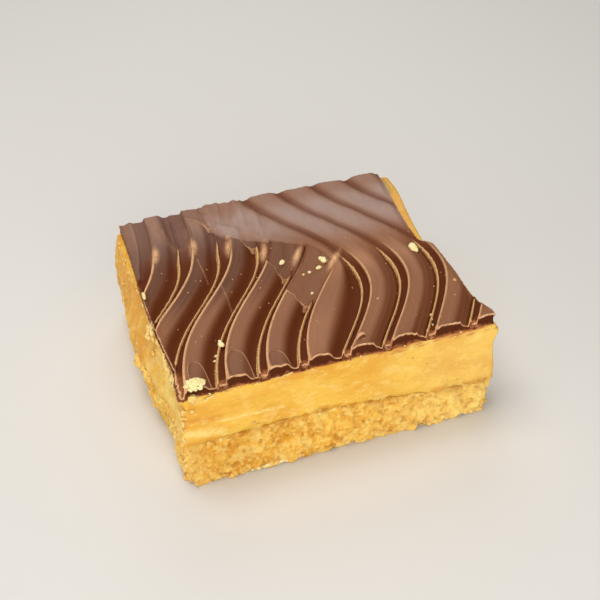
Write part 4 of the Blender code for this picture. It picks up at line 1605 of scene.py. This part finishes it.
@dataclass
class CaramelFlakes:
    """Flakes and lumps of caramel that the knife dragged up to the chocolate's lower edge."""

    seed: int = 21
    count: int = 12
    bits_in_lump: int = 9
    highest: float = 23.6
    finish: CaramelFinish = CaramelFinish(gold=linear(253, 212, 120), deep=linear(248, 194, 94),
                                          pale=linear(255, 224, 146), glow=0.08)

    FRONT: tuple[tuple[float, float, float, float, float], ...] = (  # x, z, length, height, slope
        (-28.0, 21.9, 1.9, 0.50, 0.35), (-24.4, 22.3, 0.5, 0.35, 0.0), (-18.3, 22.5, 1.1, 0.45, 0.1),
        (-13.9, 22.6, 1.2, 0.35, 0.1), (-12.5, 22.8, 1.5, 0.40, 0.25), (-11.3, 23.1, 0.7, 0.40, 0.3),
        (-6.2, 21.8, 1.2, 0.35, 0.1), (-3.2, 17.0, 1.4, 0.35, -0.2), (-5.0, 17.9, 0.9, 0.30, 0.0),
        (1.5, 22.4, 0.5, 0.30, 0.0), (10.4, 21.5, 0.6, 0.30, 0.1), (24.0, 22.0, 0.8, 0.30, 0.1),
    )
    LUMPS: tuple[tuple[float, float, float, float], ...] = (  # x, y, z, radius
        (-33.6, -17.2, 22.4, 0.90), (-33.7, -18.6, 21.8, 0.95), (-33.9, -19.8, 21.0, 0.80),
        (-33.7, -21.0, 21.9, 0.80), (-33.7, -22.2, 21.0, 0.95), (-33.7, -23.4, 20.2, 0.75),
        (-33.6, -26.3, 21.9, 0.50), (-34.0, -7.0, 23.1, 1.15), (-34.3, -8.6, 23.0, 0.90),
        (-34.4, -6.0, 21.9, 1.05), (-34.9, -6.6, 20.4, 0.80), (-35.0, -4.6, 19.2, 0.60),
        (-34.4, -9.9, 22.0, 0.60), (-33.9, -28.6, 17.5, 0.55), (-33.8, -29.4, 14.0, 0.60),
        (-34.2, -27.6, 12.4, 0.55), (-33.6, -30.4, 19.2, 0.50), (-33.7, -30.2, 16.0, 0.55),
        (-33.9, -30.6, 12.2, 0.60),
    )

    def build(self) -> bpy.types.Object:
        """Place the flakes and lumps that show, and scatter small flakes along the front and the left cut."""
        draw = random.Random(self.seed)
        bits = []
        for x, z, long, high, slope in self.FRONT:
            for step in (-0.35, 0.0, 0.35):
                place_x, place_z = x + step * long, z + step * long * slope + draw.uniform(-0.1, 0.1)
                y = CUTS.spread(place_x, -CUTS.depth / 2, place_z).y - 0.10
                bits.append(Bit(place_x, y, place_z, (0.26 * long, 0.16, high * draw.uniform(0.3, 0.55))))
        for x, y, z, radius in self.LUMPS:
            for number in range(self.bits_in_lump):
                shift = Vector([draw.uniform(-0.8, 0.8) * radius for _ in range(3)])
                size = radius * draw.uniform(0.45, 0.80)
                long, short = size * draw.uniform(0.8, 1.15), size * draw.uniform(0.45, 0.75)
                half = (0.45 * size, long, short) if number % 2 else (0.45 * size, short, long)
                z_place = min(z + shift.z, self.highest - half[2])
                bits.append(Bit(x + 0.2 + 0.3 * shift.x, y + shift.y, z_place, half))
        for _ in range(self.count):
            x = draw.uniform(-33.0, 33.0)
            z = CUTS.caramel_top + draw.uniform(-0.35, 0.2)
            y = CUTS.spread(x, -CUTS.depth / 2, z).y - 0.08
            bits.append(Bit(x, y, z, (draw.uniform(0.12, 0.4), 0.14, draw.uniform(0.08, 0.2))))
        for _ in range(2 * self.count):
            y = draw.uniform(-30.0, 28.0)
            z = CUTS.caramel_top + draw.uniform(-0.8, 0.2)
            x = CUTS.spread(-CUTS.width / 2, y, z).x - 0.05
            bits.append(Bit(x, y, z, (0.16, draw.uniform(0.15, 0.5), draw.uniform(0.12, 0.3))))
        return LooseBits("caramel_flakes", Slot.CARAMEL, self.finish.material(), 0.75).build(bits)


@dataclass
class SideCrumbs:
    """Golden crumbs of the base, stuck to the cuts: mostly the left one, the caramel's line and the foot."""

    base: BiscuitBase
    seed: int = 33
    on_left: int = 200
    on_line: int = 130
    on_corner: int = 70
    on_foot: int = 260
    left_low_share: float = 0.6
    left_low: Span = (2.0, 12.0)
    left_high: Span = (8.0, 22.5)
    finish: BiscuitFinish = BiscuitFinish(gold=linear(246, 198, 98), pale=linear(255, 222, 138), glow=0.0)

    def on_wall(self, share: float, z: float) -> tuple[Vector, Vector]:
        """Return a place on the slice's wall and the direction out of it."""
        x, y, out, _ = CUTS.perimeter(share, self.base.corner)
        if z < CUTS.biscuit_top(x):
            return self.base.solid_place(x, y, z), out
        return CUTS.spread(x, y, z), out

    def build(self) -> bpy.types.Object:
        """Scatter the crumbs, and put one larger crumb at the top of the front left corner."""
        draw = random.Random(self.seed)
        round_all = 2.0 * (CUTS.width + CUTS.depth)
        left_from = (2.0 * CUTS.width + CUTS.depth) / round_all
        places = []
        for _ in range(self.on_left):
            share = 1.0 - (1.0 - left_from) * draw.random() ** 1.5
            span = self.left_low if draw.random() < self.left_low_share else self.left_high
            places.append((share, draw.uniform(*span)))
        for _ in range(self.on_line):
            share = draw.random()
            x = CUTS.perimeter(share, self.base.corner)[0]
            places.append((share, CUTS.biscuit_top(x) + draw.gauss(0.0, 0.8)))
        for _ in range(self.on_corner):
            places.append((draw.gauss(0.0, 0.003) % 1.0, draw.uniform(0.5, 21.0)))
        for _ in range(self.on_foot):
            places.append((draw.random(), draw.uniform(0.3, 1.3)))
        bits = [Bit(-31.3 + 0.1 * turn, -31.1, 22.9 + 0.1 * turn, (0.85, 0.75, 0.85))
                for turn in (-1.0, 0.0, 1.0)]
        for share, z in places:
            spot, out = self.on_wall(share, z)
            size = draw.uniform(0.12, 0.28) + 0.3 * draw.random() ** 3
            spot += out * 0.15 * size
            along = size * draw.uniform(0.8, 1.4)
            wide, deep = (along, size * 0.7) if abs(out.y) > 0.7 else (size * 0.7, along)
            half = (wide, deep, size * draw.uniform(0.6, 1.0))
            bits.append(Bit(spot.x, spot.y, max(spot.z, 1.1 * size), half))
        return LooseBits("side_crumbs", Slot.BISCUIT, self.finish.material("side_crumb"), 0.7).build(bits)


@dataclass
class ChocolateSpecks:
    """Specks and a curled shaving of chocolate on the lobes, and two specks on the front of the caramel."""

    chocolate: CombedChocolate
    seed: int = 5
    count: int = 70
    curl_middle: tuple[float, float, float] = (4.6, -27.8, 25.1)
    curl_radius: float = 1.1
    curl_wide: float = 0.85
    curl_thick: float = 0.16
    curl_cuts: int = 14

    NUBS: tuple[tuple[float, float, float], ...] = (  # x, y, size
        (30.4, -17.0, 0.45), (29.6, -14.2, 0.20), (-24.4, -24.6, 0.16), (-4.0, -21.0, 0.22),
        (12.4, -17.4, 0.2), (30.5, -17.2, 0.34), (12.6, -17.3, 0.28), (9.5, -10.4, 0.20),
    )
    ON_FRONT: tuple[tuple[float, float], ...] = ((14.9, 19.0), (18.1, 16.6))  # x, z

    def specks(self) -> list[Bit]:
        """Place the few larger nubs that show, scatter tiny specks, and put the two on the front."""
        draw = random.Random(self.seed)
        spots = list(self.NUBS)
        for _ in range(self.count):
            spots.append((draw.uniform(-31.0, 31.0), draw.uniform(-29.0, 8.0), draw.uniform(0.09, 0.19)))
        bits = []
        for x, y, size in spots:
            line = self.chocolate.row(y)
            z = min(line, key=lambda spot: abs(spot.x - x)).z
            bits.append(Bit(x, y, z + 0.1 * size, (size, size * draw.uniform(0.8, 1.6), size * 0.7)))
        for x, z in self.ON_FRONT:
            bits.append(Bit(x, CUTS.spread(x, -CUTS.depth / 2, z).y - 0.08, z, (0.24, 0.18, 0.14)))
        return bits

    def build(self) -> bpy.types.Object:
        """Build the specks and the shaving as one piece."""
        # A lighter chocolate for the specks and the curl; on the curl it is partly a painted highlight.
        look = ChocolateFinish(flat=linear(204, 150, 120), deep=linear(190, 132, 102)).material()
        piece = LooseBits("chocolate_specks", Slot.CHOCOLATE, look, 0.3, 1)
        return piece.build(self.specks(), self.curl)

    def curl(self, bm: bmesh.types.BMesh) -> None:
        """Add the curled shaving to a mesh: a thin strip bent into an arch over the seam's groove."""
        others = len(bm.verts)
        made = bmesh.ops.create_cube(bm, size=1.0)["verts"]
        edges = {edge for vert in made for edge in vert.link_edges
                 if abs((edge.verts[0].co - edge.verts[1].co).x) > 0.5}
        bmesh.ops.subdivide_edges(bm, edges=list(edges), cuts=self.curl_cuts)
        middle = Vector(self.curl_middle)
        bm.verts.ensure_lookup_table()
        for vert in bm.verts[others:]:
            turn = math.pi * (1.15 * vert.co.x + 0.5)
            radius = self.curl_radius + self.curl_thick * vert.co.z
            side = self.curl_wide * vert.co.y * (1.0 - 0.5 * abs(vert.co.x))
            level, up = math.cos(turn), math.sin(turn)
            vert.co = middle + Vector((-radius * level, side - 0.35 * level, radius * up))


@dataclass
class Studio:
    """A pale floor, soft light from above and behind, two weaker fills, and the photograph's camera."""

    camera_place: Vector = field(default_factory=lambda: Vector((-57.144, -178.244, 159.362)))
    camera_turn: tuple[float, float, float] = (52.6013, 1.1289, -19.1375)
    lens: float = 63.05
    shift_y: float = -1.0 / 600.0

    def light(self, name: str, place: tuple[float, float, float], size: float, power: float,
              tint: Colour) -> None:
        """Hang a square soft light that points at the slice.

        Args:
            name: The light's name.
            place: Where it hangs, in millimetres.
            size: The length of its side, in millimetres.
            power: Its power in watts.
            tint: Its colour.
        """
        data = bpy.data.lights.new(name, "AREA")
        data.size = size * MM
        data.energy = power
        data.color = tint
        lamp = bpy.data.objects.new(name, data)
        lamp.location = Vector(place) * MM
        lamp.rotation_euler = (Vector((0.0, 0.0, 12.0)) - Vector(place)).to_track_quat("-Z", "Y").to_euler()
        bpy.context.scene.collection.objects.link(lamp)

    def build(self) -> None:
        """Set up the floor, the lights, the surroundings and the camera."""
        scene = bpy.context.scene
        recipe = Recipe("floor")
        mottle = recipe.speckle((0.004, 0.004, 0.004), 2.0)
        tone = recipe.blend(mottle, linear(214, 212, 208), linear(222, 220, 216))
        bm = bmesh.new()
        bmesh.ops.create_grid(bm, x_segments=8, y_segments=8, size=1.6)
        mesh = bpy.data.meshes.new("floor")
        bm.to_mesh(mesh)
        bm.free()
        mesh.materials.append(recipe.dress({"Base Color": tone, "Roughness": 0.7}))
        floor = bpy.data.objects.new("floor", mesh)
        scene.collection.objects.link(floor)
        self.light("window_light", (150.0, 470.0, 400.0), 380.0, 0.8, (1.0, 0.97, 0.94))
        self.light("top_light", (-120.0, 60.0, 520.0), 300.0, 1.7, (1.0, 0.98, 0.95))
        self.light("front_fill", (-60.0, -460.0, 170.0), 420.0, 1.85, (1.0, 0.98, 0.95))
        self.light("left_fill", (-500.0, -90.0, 120.0), 300.0, 0.43, (1.0, 0.97, 0.93))
        world = bpy.data.worlds.new("surroundings")
        world.use_nodes = True
        world.node_tree.nodes["Background"].inputs["Color"].default_value = (1.0, 0.98, 0.95, 1.0)
        world.node_tree.nodes["Background"].inputs["Strength"].default_value = 0.20
        scene.world = world
        scene.view_settings.view_transform = "Standard"
        data = bpy.data.cameras.new("camera")
        data.sensor_width = 36.0
        data.lens = self.lens
        data.shift_y = self.shift_y
        data.clip_start, data.clip_end = 0.01, 10.0
        camera = bpy.data.objects.new("camera", data)
        camera.location = self.camera_place * MM
        camera.rotation_euler = [math.radians(angle) for angle in self.camera_turn]
        scene.collection.objects.link(camera)
        scene.camera = camera


def main() -> None:
    """Build the slice layer by layer, then its loose bits and the studio."""
    logging.basicConfig(level=logging.INFO, format="%(name)s: %(message)s")
    Studio().build()
    chocolate = CombedChocolate()
    base = BiscuitBase()
    base.build()
    SetCaramel().build()
    chocolate.build()
    Crumbs(chocolate).build()
    SideCrumbs(base).build()
    CaramelFlakes().build()
    ChocolateSpecks(chocolate).build()


if __name__ == "__main__":
    main()
